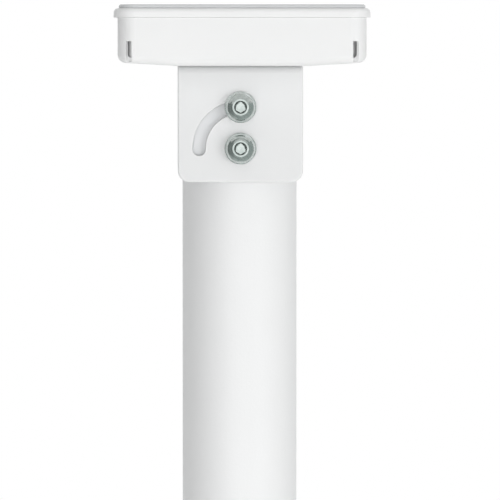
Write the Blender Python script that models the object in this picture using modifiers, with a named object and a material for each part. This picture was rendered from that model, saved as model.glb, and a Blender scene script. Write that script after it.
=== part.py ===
"""A tilting terminal head on a round floor post.

A steel tube stands on a round base plate. A folded bracket straddles the top of the tube and carries
a flat terminal head: a plastic tray, a cover frame and a glass touch panel. Two screws go through
each cheek of the bracket. The lower one is the pivot. The upper one runs in a quarter-circle slot
and clamps the head anywhere between level and upright.

Metres, +Z up. The origin is on the floor, under the middle of the tube. The tilt axis runs along Y,
so the head turns in the XZ plane, and its panel faces +X when it is upright. Pieces on the front
side of the tube are at -Y, and pieces on the rear side are at +Y.
"""

import math
from collections import namedtuple

import bmesh
import bpy
from mathutils import Matrix, Vector

MM = 0.001
GAP = 0.3 * MM  # between two pieces that touch
PLAY = 0.3 * MM  # round a shank in its hole

# Base
PLATE_DIAMETER = 300 * MM
PLATE_THICKNESS = 10 * MM
PLATE_CHAMFER = 2 * MM
ANCHOR_CIRCLE = 250 * MM
ANCHOR_HOLE = 9 * MM
ANCHOR_SINK = 17 * MM
CABLE_HOLE = 26 * MM
FOOT_HEIGHT = 28 * MM
FOOT_SCREW_CIRCLE = 40 * MM
COLLAR_HEIGHT = 14 * MM
COLLAR_WIDTH = 11 * MM

# Post
PIVOT_HEIGHT = 925.6 * MM
TUBE_DIAMETER = 60 * MM
TUBE_WALL = 2 * MM
CAP_THICKNESS = 2.2 * MM
CAP_HOLE = 16 * MM
CAP_TAB = 7 * MM
BLOCK_WIDTH = 26 * MM
BLOCK_BELOW_PIVOT = 20 * MM
BLOCK_ABOVE_LOCK = 10 * MM
BLOCK_CHANNEL = 14 * MM
SADDLE_WIDTH = 52 * MM  # it backs the whole slot
SADDLE_BELOW_PIVOT = 14 * MM
SADDLE_ABOVE_LOCK = 8.5 * MM
SADDLE_SKIN = 1.4 * MM  # where the tube comes closest to the cheek

# Tilt bracket, from the tilt axis
TILT_RANGE = 90.0  # degrees
SHEET = 2.5 * MM
CHEEK_WIDTH = 65 * MM
CHEEK_BELOW_PIVOT = 17.5 * MM
CHEEK_CORNER = 6 * MM
BEND_RADIUS = 1.5 * MM
WEB_CLEARANCE = 2.3 * MM  # between the cap and the web that swings round it
LOCK_RADIUS = 21.5 * MM
CAP_ABOVE_LOCK = 16.6 * MM  # from the lock screw's axis to the top of the cap
SLOT_WIDTH = 6.8 * MM
BUSH_WALL = 1.5 * MM
WASHER_DIAMETER = 16.4 * MM
WASHER_THICKNESS = 1.2 * MM
BRACKET_SCREW_X = 25 * MM
BRACKET_SCREW_Y = 19 * MM
HEAD_CABLE_HOLE = 20 * MM

# Head
TRAY_LENGTH = 206 * MM  # along the tilt axis
TRAY_WIDTH = 126 * MM
TRAY_HEIGHT = 24.5 * MM
TRAY_WALL = 2.5 * MM
TRAY_CORNER = 9 * MM
TRAY_EDGE = 4 * MM
TRAY_RISE = 1.8 * MM  # of the underside, from the bracket out to each end
COVER_OVERHANG = 2 * MM
COVER_THICKNESS = 4.5 * MM
COVER_RIM = 15 * MM
COVER_EDGE = 2.4 * MM  # rounding of its upper edge
GLASS_THICKNESS = 1.6 * MM
GLASS_INSET = 2.6 * MM  # just inside the rounded edge
GLASS_EDGE = 0.6 * MM
MODULE_THICKNESS = 4.6 * MM
GASKET_WIDTH = 2.5 * MM
GASKET_THICKNESS = 1.5 * MM
NOTCH_WIDTH = 2.8 * MM
NOTCH_HEIGHT = 10.6 * MM
NOTCH_FROM_END = 5.7 * MM
NOTCH_ABOVE_BACK = 2 * MM
BOARD_WIDTH = 96 * MM
BOARD_LENGTH = 120 * MM
BOARD_THICKNESS = 1.6 * MM
BOARD_ABOVE_BACK = 10.7 * MM
BOARD_SCREW_INSET = 5 * MM
BOSS_WALL = 2 * MM

# Fasteners: diameters and lengths, and how many sides their round shapes have
Screw = namedtuple("Screw", "shank head height rim flat socket socket_depth sides")
CLAMP_SCREW = Screw(6 * MM, 15.2 * MM, 4.6 * MM, 1.5 * MM, 9.4 * MM, 5 * MM, 2.8 * MM, 24)
BRACKET_SCREW = Screw(4 * MM, 8 * MM, 2.6 * MM, 0.8 * MM, 5 * MM, 2.5 * MM, 1.5 * MM, 12)
BOARD_SCREW = Screw(3 * MM, 6 * MM, 2.2 * MM, 0.7 * MM, 4 * MM, 2 * MM, 1.2 * MM, 12)
COVER_SCREW = Screw(3 * MM, 6 * MM, 2.2 * MM, 1.2 * MM, 4.4 * MM, 2 * MM, 1.3 * MM, 12)
FOOT_SCREW = Screw(6 * MM, 10.5 * MM, 4.2 * MM, 3.2 * MM, 9 * MM, 4 * MM, 2.4 * MM, 12)

# Places that follow from the sizes
TUBE_RADIUS = TUBE_DIAMETER / 2
BORE_RADIUS = TUBE_RADIUS - TUBE_WALL
CAP_RADIUS = LOCK_RADIUS + CAP_ABOVE_LOCK
WEB_LOW = CAP_RADIUS + WEB_CLEARANCE
WEB_HIGH = WEB_LOW + SHEET
SADDLE_FACE = TUBE_RADIUS + GAP + SADDLE_SKIN
CHEEK_INNER = SADDLE_FACE + GAP
CHEEK_OUTER = CHEEK_INNER + SHEET
WASHER_SEAT = CHEEK_OUTER + GAP
SCREW_SEAT = WASHER_SEAT + WASHER_THICKNESS + GAP
CLAMP_HOLE = CLAMP_SCREW.shank + 2 * PLAY
BLOCK_DEPTH = 2 * math.sqrt((BORE_RADIUS - GAP) ** 2 - (BLOCK_WIDTH / 2) ** 2)
CLAMP_TIP = BLOCK_CHANNEL / 2 + 4 * MM
TRAY_BACK = WEB_HIGH + GAP
TRAY_FLOOR = TRAY_BACK + TRAY_WALL
TRAY_TOP = TRAY_BACK + TRAY_HEIGHT
COVER_LOW = TRAY_TOP + GAP
COVER_HIGH = COVER_LOW + COVER_THICKNESS
GLASS_LOW = COVER_HIGH + GAP
COVER_WIDTH = TRAY_WIDTH + 2 * COVER_OVERHANG
COVER_LENGTH = TRAY_LENGTH + 2 * COVER_OVERHANG
COVER_CORNER = TRAY_CORNER + COVER_OVERHANG
WINDOW_WIDTH = COVER_WIDTH - 2 * COVER_RIM
WINDOW_LENGTH = COVER_LENGTH - 3 * COVER_RIM
BOARD_LOW = TRAY_BACK + BOARD_ABOVE_BACK
BOARD_SCREW_X = BOARD_WIDTH / 2 - BOARD_SCREW_INSET
BOARD_SCREW_Y = BOARD_LENGTH / 2 - BOARD_SCREW_INSET
COVER_SCREW_X = TRAY_WIDTH / 2 - TRAY_CORNER
COVER_SCREW_Y = TRAY_LENGTH / 2 - TRAY_CORNER
CORNERS = ((-1, -1), (1, -1), (1, 1), (-1, 1))
SIDES = (("front", 90.0), ("rear", -90.0))  # a turn about X that points a screw's head outwards

FINISHES = {  # colour, roughness, metallic
    "white_powder": ((0.84, 0.85, 0.85), 0.42, 0.0),
    "white_plastic": ((0.86, 0.87, 0.87), 0.38, 0.0),
    "zinc": ((0.66, 0.70, 0.69), 0.30, 1.0),
    "cast_aluminium": ((0.60, 0.61, 0.62), 0.45, 1.0),
    "grey_nylon": ((0.45, 0.46, 0.47), 0.55, 0.0),
    "black_rubber": ((0.03, 0.03, 0.03), 0.75, 0.0),
    "smoked_glass": ((0.10, 0.11, 0.12), 0.08, 0.0),
    "dark_module": ((0.04, 0.04, 0.05), 0.35, 0.0),
    "green_board": ((0.03, 0.22, 0.12), 0.50, 0.0),
}


def new_collection(name):
    made = bpy.data.collections.new(name)
    bpy.context.scene.collection.children.link(made)
    return made


for leftover in list(bpy.data.objects):
    bpy.data.objects.remove(leftover, do_unlink=True)
PARTS = new_collection("tilting_terminal_post")
CUTTERS = new_collection("cutters")


def empty_at(name, height):
    empty = bpy.data.objects.new(name, None)
    empty.location.z = height
    PARTS.objects.link(empty)
    return empty


POST = empty_at("post_origin", 0.0)
POST_TOP = empty_at("post_top", PIVOT_HEIGHT)
HEAD = empty_at("tilt_axis", PIVOT_HEIGHT)


# ---------------------------------------------------------------- building blocks


def object_of(name, mesh, parent):
    """A part when it has a finish later, and a cutter when its name starts with cut_."""
    obj = bpy.data.objects.new(name, mesh)
    cutter = name.startswith("cut_")
    (CUTTERS if cutter else PARTS).objects.link(obj)
    obj.parent = parent
    if cutter:
        obj.hide_render = True
        obj.display_type = "WIRE"
    return obj


def object_from(name, bm, parent):
    if bm.calc_volume(signed=True) < 0:
        bmesh.ops.reverse_faces(bm, faces=bm.faces)
    mesh = bpy.data.meshes.new(name)
    bm.to_mesh(mesh)
    bm.free()
    return object_of(name, mesh, parent)


def finish(obj, kind):
    """Gives a part its own material and smooth shading with crisp edges."""
    colour, roughness, metallic = FINISHES[kind]
    material = bpy.data.materials.new(f"{obj.name}_{kind}")
    material.use_nodes = True
    shader = material.node_tree.nodes["Principled BSDF"]
    shader.inputs["Base Color"].default_value = (*colour, 1.0)
    shader.inputs["Roughness"].default_value = roughness
    shader.inputs["Metallic"].default_value = metallic
    obj.data.materials.append(material)
    if obj.data.polygons:
        obj.data.shade_smooth()
        obj.data.set_sharp_from_angle(angle=math.radians(35))
    return obj


def combine(obj, other, operation="DIFFERENCE"):
    step = obj.modifiers.new(other.name, "BOOLEAN")
    step.operation = operation
    step.solver = "EXACT"
    step.object = other


def rod(name, parent, radius, low, high, axis="Z", place=(0.0, 0.0), sides=32):
    """A cylinder along Z or Y. place is its centre on the other two axes."""
    middle = (low + high) / 2
    if axis == "Z":
        matrix = Matrix.Translation((place[0], place[1], middle))
    else:
        matrix = Matrix.Translation((place[0], middle, place[1])) @ Matrix.Rotation(math.pi / 2, 4, "X")
    bm = bmesh.new()
    bmesh.ops.create_cone(
        bm, cap_ends=True, segments=sides, radius1=radius, radius2=radius, depth=high - low, matrix=matrix
    )
    return object_from(name, bm, parent)


def round_rim(bm, up, radius, segments):
    """Rounds the edges between the upright sides and the top (up = 1) or the underside (up = -1)."""
    bm.normal_update()
    rim = []
    for edge in bm.edges:
        facing = sorted(abs(face.normal.z) for face in edge.link_faces)
        ends = [face for face in edge.link_faces if face.normal.z * up > 0.9]
        if len(ends) == 1 and facing[0] < 0.3:
            rim.append(edge)
    bmesh.ops.bevel(bm, geom=rim, offset=radius, segments=segments, profile=0.5, affect="EDGES")


def block(
    name, parent, size, low, place=(0, 0), corner=0, low_edge=0, high_edge=0, flat=0, rise=0, segments=5
):
    """A block that stands on height low, with rounded upright corners and rounded lower and upper edges.

    With a rise, the underside is flat as far as flat from the middle and climbs from there to each end.
    """
    centre = Vector((place[0], place[1], low + size[2] / 2))
    bm = bmesh.new()
    bmesh.ops.create_cube(bm, size=1.0, matrix=Matrix.Translation(centre) @ Matrix.Diagonal((*size, 1.0)))
    if rise:
        for x in (-flat, flat):
            everything = bm.verts[:] + bm.edges[:] + bm.faces[:]
            bmesh.ops.bisect_plane(bm, geom=everything, plane_co=(x, 0, 0), plane_no=(1, 0, 0))
        for vert in bm.verts:
            if vert.co.z < centre.z and abs(vert.co.x) > flat + GAP:
                vert.co.z += rise
    if corner:
        reach = size[0] / 2 - GAP
        upright = []
        for edge in bm.edges:
            first, second = (vert.co for vert in edge.verts)
            if (first - second).xy.length < GAP and abs(first.x - centre.x) > reach:
                upright.append(edge)
        bmesh.ops.bevel(bm, geom=upright, offset=corner, segments=segments, profile=0.5, affect="EDGES")
    if low_edge:
        round_rim(bm, -1, low_edge, segments - 1)
    if high_edge:
        round_rim(bm, 1, high_edge, segments - 2)
    return object_from(name, bm, parent)


def turned(name, parent, profile, sides=32):
    """A shape turned about Z. The (radius, height) points run down its outer side.

    A profile that starts on the axis is open. Any other closes on itself, as a ring does.
    """
    count = len(profile)
    edges = [(i, i + 1) for i in range(count - 1)]
    if profile[0][0] > 0:
        edges.append((count - 1, 0))
    mesh = bpy.data.meshes.new(name)
    mesh.from_pydata([(radius, 0.0, height) for radius, height in profile], edges, [])
    obj = object_of(name, mesh, parent)
    turn = obj.modifiers.new("turn", "SCREW")
    turn.steps = turn.render_steps = sides
    turn.use_merge_vertices = True
    turn.merge_threshold = 0.01 * MM
    turn.use_smooth_shade = False
    return obj


def ring(name, parent, inner, outer, low, high, sides=32):
    return turned(name, parent, [(outer, high), (outer, low), (inner, low), (inner, high)], sides)


def arc(centre, radius, start, end, steps):
    """Points along an arc, from start to end in degrees."""
    points = []
    for i in range(steps + 1):
        angle = math.radians(start + (end - start) * i / steps)
        points.append((centre[0] + radius * math.cos(angle), centre[1] + radius * math.sin(angle)))
    return points


def prism(name, parent, points, half_depth, across="Y"):
    """A flat outline with a depth. Its points are (x, z) with the depth along Y, or (y, z) along X."""
    curve = bpy.data.curves.new(name, "CURVE")
    curve.dimensions = "2D"
    curve.fill_mode = "BOTH"
    curve.extrude = half_depth
    spline = curve.splines.new("POLY")
    spline.points.add(len(points) - 1)
    for point, (x, y) in zip(spline.points, points):
        point.co = (x, y, 0.0, 1.0)
    spline.use_cyclic_u = True
    outline = bpy.data.objects.new(name + "_outline", curve)
    outline.rotation_euler = (math.pi / 2, 0.0, math.pi / 2 if across == "X" else 0.0)
    CUTTERS.objects.link(outline)
    bpy.context.view_layer.update()
    mesh = bpy.data.meshes.new_from_object(outline.evaluated_get(bpy.context.evaluated_depsgraph_get()))
    bm = bmesh.new()
    bm.from_mesh(mesh)
    bmesh.ops.remove_doubles(bm, verts=bm.verts, dist=0.001 * MM)
    bm.transform(outline.matrix_world)
    bpy.data.objects.remove(outline)
    return object_from(name, bm, parent)


def arch(name, radius):
    """The space that stays clear of the swinging web: an arch of this radius about the tilt axis."""
    points = [(-radius, -PIVOT_HEIGHT), (radius, -PIVOT_HEIGHT)] + arc((0, 0), radius, 0, 180, 40)
    return prism(name, POST_TOP, points, TUBE_DIAMETER)


def screw(name, parent, kind, seat, tip, place=(0.0, 0.0, 0.0), turn=0.0):
    """A button-head screw with a hex socket. It runs along its own Z, with its head at the top."""
    top = seat + kind.height
    head, flat, shank = kind.head / 2, kind.flat / 2, kind.shank / 2
    dome = max(head * 0.9, flat + 0.2 * MM)
    profile = [(0.0, top), (flat, top)]
    steps = kind.sides // 8
    for step in range(1, steps + 1):
        angle = math.pi / 2 * step / steps
        drop = kind.height - kind.rim
        profile.append((flat + (dome - flat) * math.sin(angle), top - drop * (1 - math.cos(angle))))
    profile += [(head, seat + kind.rim * 0.75), (head, seat), (shank, seat)]
    profile += [(shank, tip + shank / 4), (shank * 0.75, tip), (0.0, tip)]
    obj = turned(name, parent, profile, kind.sides)
    across_corners = kind.socket * 2 / math.sqrt(3)
    socket_low = top - kind.socket_depth
    socket = rod("cut_socket_" + name, parent, across_corners / 2, socket_low, top + GAP, sides=6)
    for piece in (obj, socket):
        piece.location = place
        piece.rotation_euler.x = math.radians(turn)
    combine(obj, socket)
    return finish(obj, "zinc")


# ---------------------------------------------------------------- base and post

plate_radius = PLATE_DIAMETER / 2
base_plate = turned(
    "base_plate",
    POST,
    [
        (plate_radius - PLATE_CHAMFER, PLATE_THICKNESS),
        (plate_radius, PLATE_THICKNESS - PLATE_CHAMFER),
        (plate_radius, 0.0),
        (CABLE_HOLE / 2, 0.0),
        (CABLE_HOLE / 2, PLATE_THICKNESS),
    ],
    64,
)
sink_depth = (ANCHOR_SINK - ANCHOR_HOLE) / 2
for number in range(4):
    angle = math.radians(45 + 90 * number)
    place = (ANCHOR_CIRCLE / 2 * math.cos(angle), ANCHOR_CIRCLE / 2 * math.sin(angle), 0.0)
    anchor = turned(
        f"cut_anchor_{number + 1}",
        POST,
        [
            (0.0, PLATE_THICKNESS + GAP),
            (ANCHOR_SINK / 2 + GAP, PLATE_THICKNESS + GAP),
            (ANCHOR_HOLE / 2, PLATE_THICKNESS - sink_depth),
            (ANCHOR_HOLE / 2, -GAP),
            (0.0, -GAP),
        ],
        16,
    )
    anchor.location = place
    combine(base_plate, anchor)

# The foot fills the lower end of the tube, and three screws hold it to the plate from below.
foot_low = PLATE_THICKNESS + GAP
foot_high = foot_low + FOOT_HEIGHT
post_foot = ring("post_foot", POST, CABLE_HOLE / 2, BORE_RADIUS - GAP, foot_low, foot_high, 32)
head_recess = FOOT_SCREW.height + 2 * GAP
for number in range(3):
    angle = math.radians(30 + 120 * number)
    place = (FOOT_SCREW_CIRCLE / 2 * math.cos(angle), FOOT_SCREW_CIRCLE / 2 * math.sin(angle))
    shank_radius = FOOT_SCREW.shank / 2 + PLAY
    head_radius = FOOT_SCREW.head / 2 + PLAY
    hole = rod(f"cut_foot_hole_{number + 1}", POST, shank_radius, -GAP, foot_high + GAP, "Z", place, 16)
    recess = rod(f"cut_foot_recess_{number + 1}", POST, head_radius, -GAP, head_recess, "Z", place, 16)
    combine(post_foot, hole)
    combine(base_plate, hole)
    combine(base_plate, recess)
    # The screw is upside down: its seat is the top of the recess.
    seat, tip = GAP - head_recess, 2 * MM - foot_high
    screw(f"foot_screw_{number + 1}", POST, FOOT_SCREW, seat, tip, (*place, 0.0), 180)
finish(base_plate, "white_powder")
finish(post_foot, "cast_aluminium")

plate_grommet = ring(
    "plate_grommet", POST, CABLE_HOLE / 2 - 4 * MM, CABLE_HOLE / 2 - GAP, 1 * MM, PLATE_THICKNESS - GAP, 24
)
finish(plate_grommet, "black_rubber")

collar_inner = TUBE_RADIUS + GAP
collar_outer = collar_inner + COLLAR_WIDTH
collar_low = PLATE_THICKNESS + GAP
base_collar = turned(
    "base_collar",
    POST,
    [
        (collar_inner + 2 * MM, collar_low + COLLAR_HEIGHT),
        (collar_inner + COLLAR_WIDTH * 0.45, collar_low + COLLAR_HEIGHT * 0.7),
        (collar_outer - 1 * MM, collar_low + COLLAR_HEIGHT * 0.3),
        (collar_outer, collar_low + COLLAR_HEIGHT * 0.15),
        (collar_outer, collar_low),
        (collar_inner, collar_low),
        (collar_inner, collar_low + COLLAR_HEIGHT),
    ],
    40,
)
finish(base_collar, "white_plastic")

# The tube's top follows an arch, so that the bracket's web swings over it. A cap closes it.
tube_arch_radius = CAP_RADIUS - CAP_THICKNESS - GAP
tube_top = PIVOT_HEIGHT + CAP_RADIUS
post_tube = ring("post_tube", POST, BORE_RADIUS, TUBE_RADIUS, PLATE_THICKNESS + GAP, tube_top, 56)
combine(post_tube, arch("cut_tube_arch", tube_arch_radius), "INTERSECT")

# ---------------------------------------------------------------- top of the post, from the tilt axis

cap_low = math.sqrt(tube_arch_radius**2 - BORE_RADIUS**2)
post_cap = rod("post_cap", POST_TOP, TUBE_RADIUS, cap_low - CAP_TAB, CAP_RADIUS + GAP, sides=56)
combine(post_cap, arch("cut_cap_arch", CAP_RADIUS), "INTERSECT")
combine(post_cap, arch("cut_cap_hollow", CAP_RADIUS - CAP_THICKNESS))
for side, x in (("left", -1), ("right", 1)):
    tab_x = BORE_RADIUS - GAP - 2.2 * MM
    tab = block(
        f"cut_cap_tab_{side}",
        POST_TOP,
        (2.4 * MM, 14 * MM, CAP_TAB + 5 * MM),
        cap_low - CAP_TAB,
        place=(x * tab_x, 0.0),
    )
    combine(post_cap, tab, "UNION")
combine(post_cap, rod("cut_cap_hole", POST_TOP, CAP_HOLE / 2, 0.0, CAP_RADIUS + 2 * GAP))
finish(post_cap, "white_plastic")

cap_grommet = ring(
    "cap_grommet",
    POST_TOP,
    CAP_HOLE / 2 - 3 * MM,
    CAP_HOLE / 2 - GAP,
    CAP_RADIUS - CAP_THICKNESS - 1.2 * MM,
    CAP_RADIUS - 0.9 * MM,
    24,
)
finish(cap_grommet, "black_rubber")

pivot_block = block(
    "pivot_block",
    POST_TOP,
    (BLOCK_WIDTH, BLOCK_DEPTH, BLOCK_BELOW_PIVOT + LOCK_RADIUS + BLOCK_ABOVE_LOCK),
    -BLOCK_BELOW_PIVOT,
)
block_channel = rod(
    "cut_block_channel", POST_TOP, BLOCK_CHANNEL / 2, -2 * BLOCK_BELOW_PIVOT, CAP_RADIUS, sides=16
)
combine(pivot_block, block_channel)
saddles = []
for side, outwards in (("front", -1), ("rear", 1)):
    depth = SADDLE_FACE - TUBE_RADIUS / 2
    saddle = block(
        f"saddle_{side}",
        POST_TOP,
        (SADDLE_WIDTH, depth, SADDLE_BELOW_PIVOT + LOCK_RADIUS + SADDLE_ABOVE_LOCK),
        -SADDLE_BELOW_PIVOT,
        place=(0.0, outwards * (SADDLE_FACE - depth / 2)),
    )
    saddles.append(saddle)
saddle_bed = rod("cut_saddle_bed", POST_TOP, TUBE_RADIUS + GAP, -2 * CAP_RADIUS, 2 * CAP_RADIUS, sides=56)
saddle_arch = arch("cut_saddle_arch", CAP_RADIUS)
for saddle in saddles:
    combine(saddle, saddle_bed)
    combine(saddle, saddle_arch, "INTERSECT")
through = 2 * CHEEK_OUTER
for name, height in (("pivot", 0.0), ("lock", LOCK_RADIUS)):
    bore = rod(f"cut_{name}_bore", POST_TOP, CLAMP_HOLE / 2, -through, through, "Y", (0.0, height), 20)
    for piece in (post_tube, pivot_block, *saddles):
        combine(piece, bore)
    for side, turn in SIDES:
        place = (0.0, 0.0, height)
        screw(f"{name}_screw_{side}", POST_TOP, CLAMP_SCREW, SCREW_SEAT, CLAMP_TIP, place, turn)
        washer = ring(
            f"{name}_washer_{side}",
            POST_TOP,
            CLAMP_HOLE / 2,
            WASHER_DIAMETER / 2,
            WASHER_SEAT,
            WASHER_SEAT + WASHER_THICKNESS,
            24,
        )
        washer.location = place
        washer.rotation_euler.x = math.radians(turn)
        finish(washer, "zinc")
finish(post_tube, "white_powder")
finish(pivot_block, "cast_aluminium")
for saddle in saddles:
    finish(saddle, "grey_nylon")

# A sleeve in each cheek's pivot hole, as long as the cheek is thick.
bush_outer = CLAMP_HOLE / 2 + BUSH_WALL
for side, turn in SIDES:
    bush = ring(f"pivot_bush_{side}", POST_TOP, CLAMP_HOLE / 2, bush_outer, CHEEK_INNER, CHEEK_OUTER, 20)
    bush.rotation_euler.x = math.radians(turn)
    finish(bush, "grey_nylon")

# ---------------------------------------------------------------- tilt bracket, from the tilt axis

inner, outer = BEND_RADIUS, BEND_RADIUS + SHEET
channel = [(-CHEEK_OUTER, -CHEEK_BELOW_PIVOT)]
channel += arc((outer - CHEEK_OUTER, WEB_HIGH - outer), outer, 180, 90, 4)
channel += arc((CHEEK_OUTER - outer, WEB_HIGH - outer), outer, 90, 0, 4)
channel += [(CHEEK_OUTER, -CHEEK_BELOW_PIVOT), (CHEEK_INNER, -CHEEK_BELOW_PIVOT)]
channel += arc((CHEEK_INNER - inner, WEB_LOW - inner), inner, 0, 90, 3)
channel += arc((inner - CHEEK_INNER, WEB_LOW - inner), inner, 90, 180, 3)
channel += [(-CHEEK_INNER, -CHEEK_BELOW_PIVOT)]
tilt_bracket = prism("tilt_bracket", HEAD, channel, CHEEK_WIDTH / 2 + 2 * MM, "X")

half_width = CHEEK_WIDTH / 2
corner_x = half_width - CHEEK_CORNER
corner_z = CHEEK_CORNER - CHEEK_BELOW_PIVOT
cheek_outline = [(half_width, WEB_HIGH + 2 * MM), (-half_width, WEB_HIGH + 2 * MM)]
cheek_outline += arc((-corner_x, corner_z), CHEEK_CORNER, 180, 270, 6)
cheek_outline += arc((corner_x, corner_z), CHEEK_CORNER, 270, 360, 6)
combine(tilt_bracket, prism("cut_cheek_outline", HEAD, cheek_outline, through), "INTERSECT")

# The slot starts at the lock screw, above the pivot, and goes a quarter turn towards -X.
slot_half = SLOT_WIDTH / 2
slot_margin = math.degrees((slot_half - CLAMP_SCREW.shank / 2) / LOCK_RADIUS)
slot_start, slot_end = 90.0 - slot_margin, 90.0 + TILT_RANGE + slot_margin
ends = []
for angle in (slot_start, slot_end):
    ends.append((LOCK_RADIUS * math.cos(math.radians(angle)), LOCK_RADIUS * math.sin(math.radians(angle))))
slot = arc((0, 0), LOCK_RADIUS + slot_half, slot_start, slot_end, 14)
slot += arc(ends[1], slot_half, slot_end, slot_end + 180, 6)[1:-1]
slot += arc((0, 0), LOCK_RADIUS - slot_half, slot_end, slot_start, 12)
slot += arc(ends[0], slot_half, slot_start + 180, slot_start + 360, 6)[1:-1]
combine(tilt_bracket, prism("cut_slot", HEAD, slot, through))
combine(tilt_bracket, rod("cut_bush_hole", HEAD, bush_outer + PLAY, -through, through, "Y", sides=20))

# ---------------------------------------------------------------- head, from the tilt axis

head_tray = block(
    "head_tray",
    HEAD,
    (TRAY_WIDTH, TRAY_LENGTH, TRAY_HEIGHT),
    TRAY_BACK,
    corner=TRAY_CORNER,
    low_edge=TRAY_EDGE,
    flat=half_width,
    rise=TRAY_RISE,
)
hollow = block(
    "cut_tray_hollow",
    HEAD,
    (TRAY_WIDTH - 2 * TRAY_WALL, TRAY_LENGTH - 2 * TRAY_WALL, TRAY_HEIGHT),
    TRAY_FLOOR,
    corner=TRAY_CORNER - TRAY_WALL,
    low_edge=max(TRAY_EDGE - TRAY_WALL, 0.5 * MM),
    flat=half_width,
    rise=TRAY_RISE,
)
combine(head_tray, hollow)
head_cover = block(
    "head_cover",
    HEAD,
    (COVER_WIDTH, COVER_LENGTH, COVER_THICKNESS),
    COVER_LOW,
    corner=COVER_CORNER,
    low_edge=0.8 * MM,
    high_edge=COVER_EDGE,
    segments=6,
)
window = block(
    "cut_window",
    HEAD,
    (WINDOW_WIDTH, WINDOW_LENGTH, 2 * COVER_THICKNESS),
    COVER_LOW - COVER_THICKNESS / 2,
    corner=3 * MM,
    segments=3,
)
combine(head_cover, window)
board = block("controller_board", HEAD, (BOARD_WIDTH, BOARD_LENGTH, BOARD_THICKNESS), BOARD_LOW)

cover_tip = COVER_LOW + COVER_THICKNESS / 2
cover_seat = COVER_SCREW.height + 2 * GAP + TRAY_RISE + 1 * MM  # above the back of the tray
for number, (x, y) in enumerate(CORNERS, start=1):
    # Bracket to tray
    place = (x * BRACKET_SCREW_X, y * BRACKET_SCREW_Y)
    boss_low, boss_top = TRAY_BACK + 1 * MM, BOARD_LOW - 2 * MM
    hole_radius = BRACKET_SCREW.shank / 2 + PLAY
    boss_radius = hole_radius + BOSS_WALL
    boss = rod(f"cut_bracket_boss_{number}", HEAD, boss_radius, boss_low, boss_top, "Z", place, 12)
    hole_low, hole_high = WEB_LOW - SHEET, boss_top + GAP
    hole = rod(f"cut_bracket_hole_{number}", HEAD, hole_radius, hole_low, hole_high, "Z", place, 12)
    combine(head_tray, boss, "UNION")
    combine(head_tray, hole)
    combine(tilt_bracket, hole)
    seat, tip = GAP - WEB_LOW, 1 * MM - boss_top
    screw(f"bracket_screw_{number}", HEAD, BRACKET_SCREW, seat, tip, (*place, 0.0), 180)

    # Board to tray
    place = (x * BOARD_SCREW_X, y * BOARD_SCREW_Y)
    hole_radius = BOARD_SCREW.shank / 2 + PLAY
    boss_radius = hole_radius + BOSS_WALL
    boss_low, boss_top = TRAY_BACK + TRAY_RISE, BOARD_LOW - GAP
    boss = rod(f"cut_board_boss_{number}", HEAD, boss_radius, boss_low, boss_top, "Z", place, 12)
    hole_low, hole_high = TRAY_FLOOR + TRAY_RISE, BOARD_LOW + 3 * BOARD_THICKNESS
    hole = rod(f"cut_board_hole_{number}", HEAD, hole_radius, hole_low, hole_high, "Z", place, 12)
    combine(head_tray, boss, "UNION")
    combine(head_tray, hole)
    combine(board, hole)
    seat, tip = BOARD_LOW + BOARD_THICKNESS + GAP, TRAY_FLOOR + TRAY_RISE + 1 * MM
    screw(f"board_screw_{number}", HEAD, BOARD_SCREW, seat, tip, (*place, 0.0))

    # Cover to tray, from below
    place = (x * COVER_SCREW_X, y * COVER_SCREW_Y)
    head_radius = COVER_SCREW.head / 2 + PLAY
    boss_low, boss_top = TRAY_BACK + TRAY_RISE + 1 * MM, TRAY_TOP - GASKET_THICKNESS
    boss = rod(f"cut_cover_boss_{number}", HEAD, head_radius + 1 * MM, boss_low, boss_top, "Z", place, 16)
    hole_radius = COVER_SCREW.shank / 2 + PLAY
    hole_low, hole_high = TRAY_BACK - GAP, cover_tip + 0.5 * MM
    hole = rod(f"cut_cover_hole_{number}", HEAD, hole_radius, hole_low, hole_high, "Z", place, 12)
    recess_high = TRAY_BACK + cover_seat
    recess = rod(f"cut_cover_recess_{number}", HEAD, head_radius, hole_low, recess_high, "Z", place, 12)
    combine(head_tray, boss, "UNION")
    combine(head_tray, hole)
    combine(head_tray, recess)
    combine(head_cover, hole)
    screw(f"cover_screw_{number}", HEAD, COVER_SCREW, GAP - recess_high, -cover_tip, (*place, 0.0), 180)

    # A tall notch through the wall, near the end of each long side
    notch = block(
        f"cut_notch_{number}",
        HEAD,
        (NOTCH_WIDTH, 2 * TRAY_WALL, NOTCH_HEIGHT),
        TRAY_BACK + NOTCH_ABOVE_BACK,
        place=(x * (TRAY_WIDTH / 2 - NOTCH_FROM_END), y * (TRAY_LENGTH / 2 - TRAY_WALL / 2)),
    )
    combine(head_tray, notch)

cable_hole = rod("cut_head_cable_hole", HEAD, HEAD_CABLE_HOLE / 2, WEB_LOW - SHEET, TRAY_FLOOR + 1 * MM)
combine(tilt_bracket, cable_hole)
combine(head_tray, cable_hole)
finish(tilt_bracket, "white_powder")
finish(head_tray, "white_plastic")
finish(head_cover, "white_plastic")
finish(board, "green_board")

grommet_outer = HEAD_CABLE_HOLE / 2 - GAP
head_grommet = turned(
    "head_grommet",
    HEAD,
    [
        (grommet_outer, TRAY_FLOOR + 1 * MM),
        (grommet_outer, WEB_LOW - GAP),
        (grommet_outer + 2.3 * MM, WEB_LOW - GAP),
        (grommet_outer + 2.3 * MM, WEB_LOW - 1.3 * MM),
        (grommet_outer - 3 * MM, WEB_LOW - 1.3 * MM),
        (grommet_outer - 3 * MM, TRAY_FLOOR + 1 * MM),
    ],
    24,
)
finish(head_grommet, "black_rubber")

connector_low = BOARD_LOW + BOARD_THICKNESS + GAP
connector = block(
    "board_connector", HEAD, (22 * MM, 12 * MM, 8 * MM), connector_low, place=(0.0, -BOARD_LENGTH / 3)
)
finish(connector, "dark_module")

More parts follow.
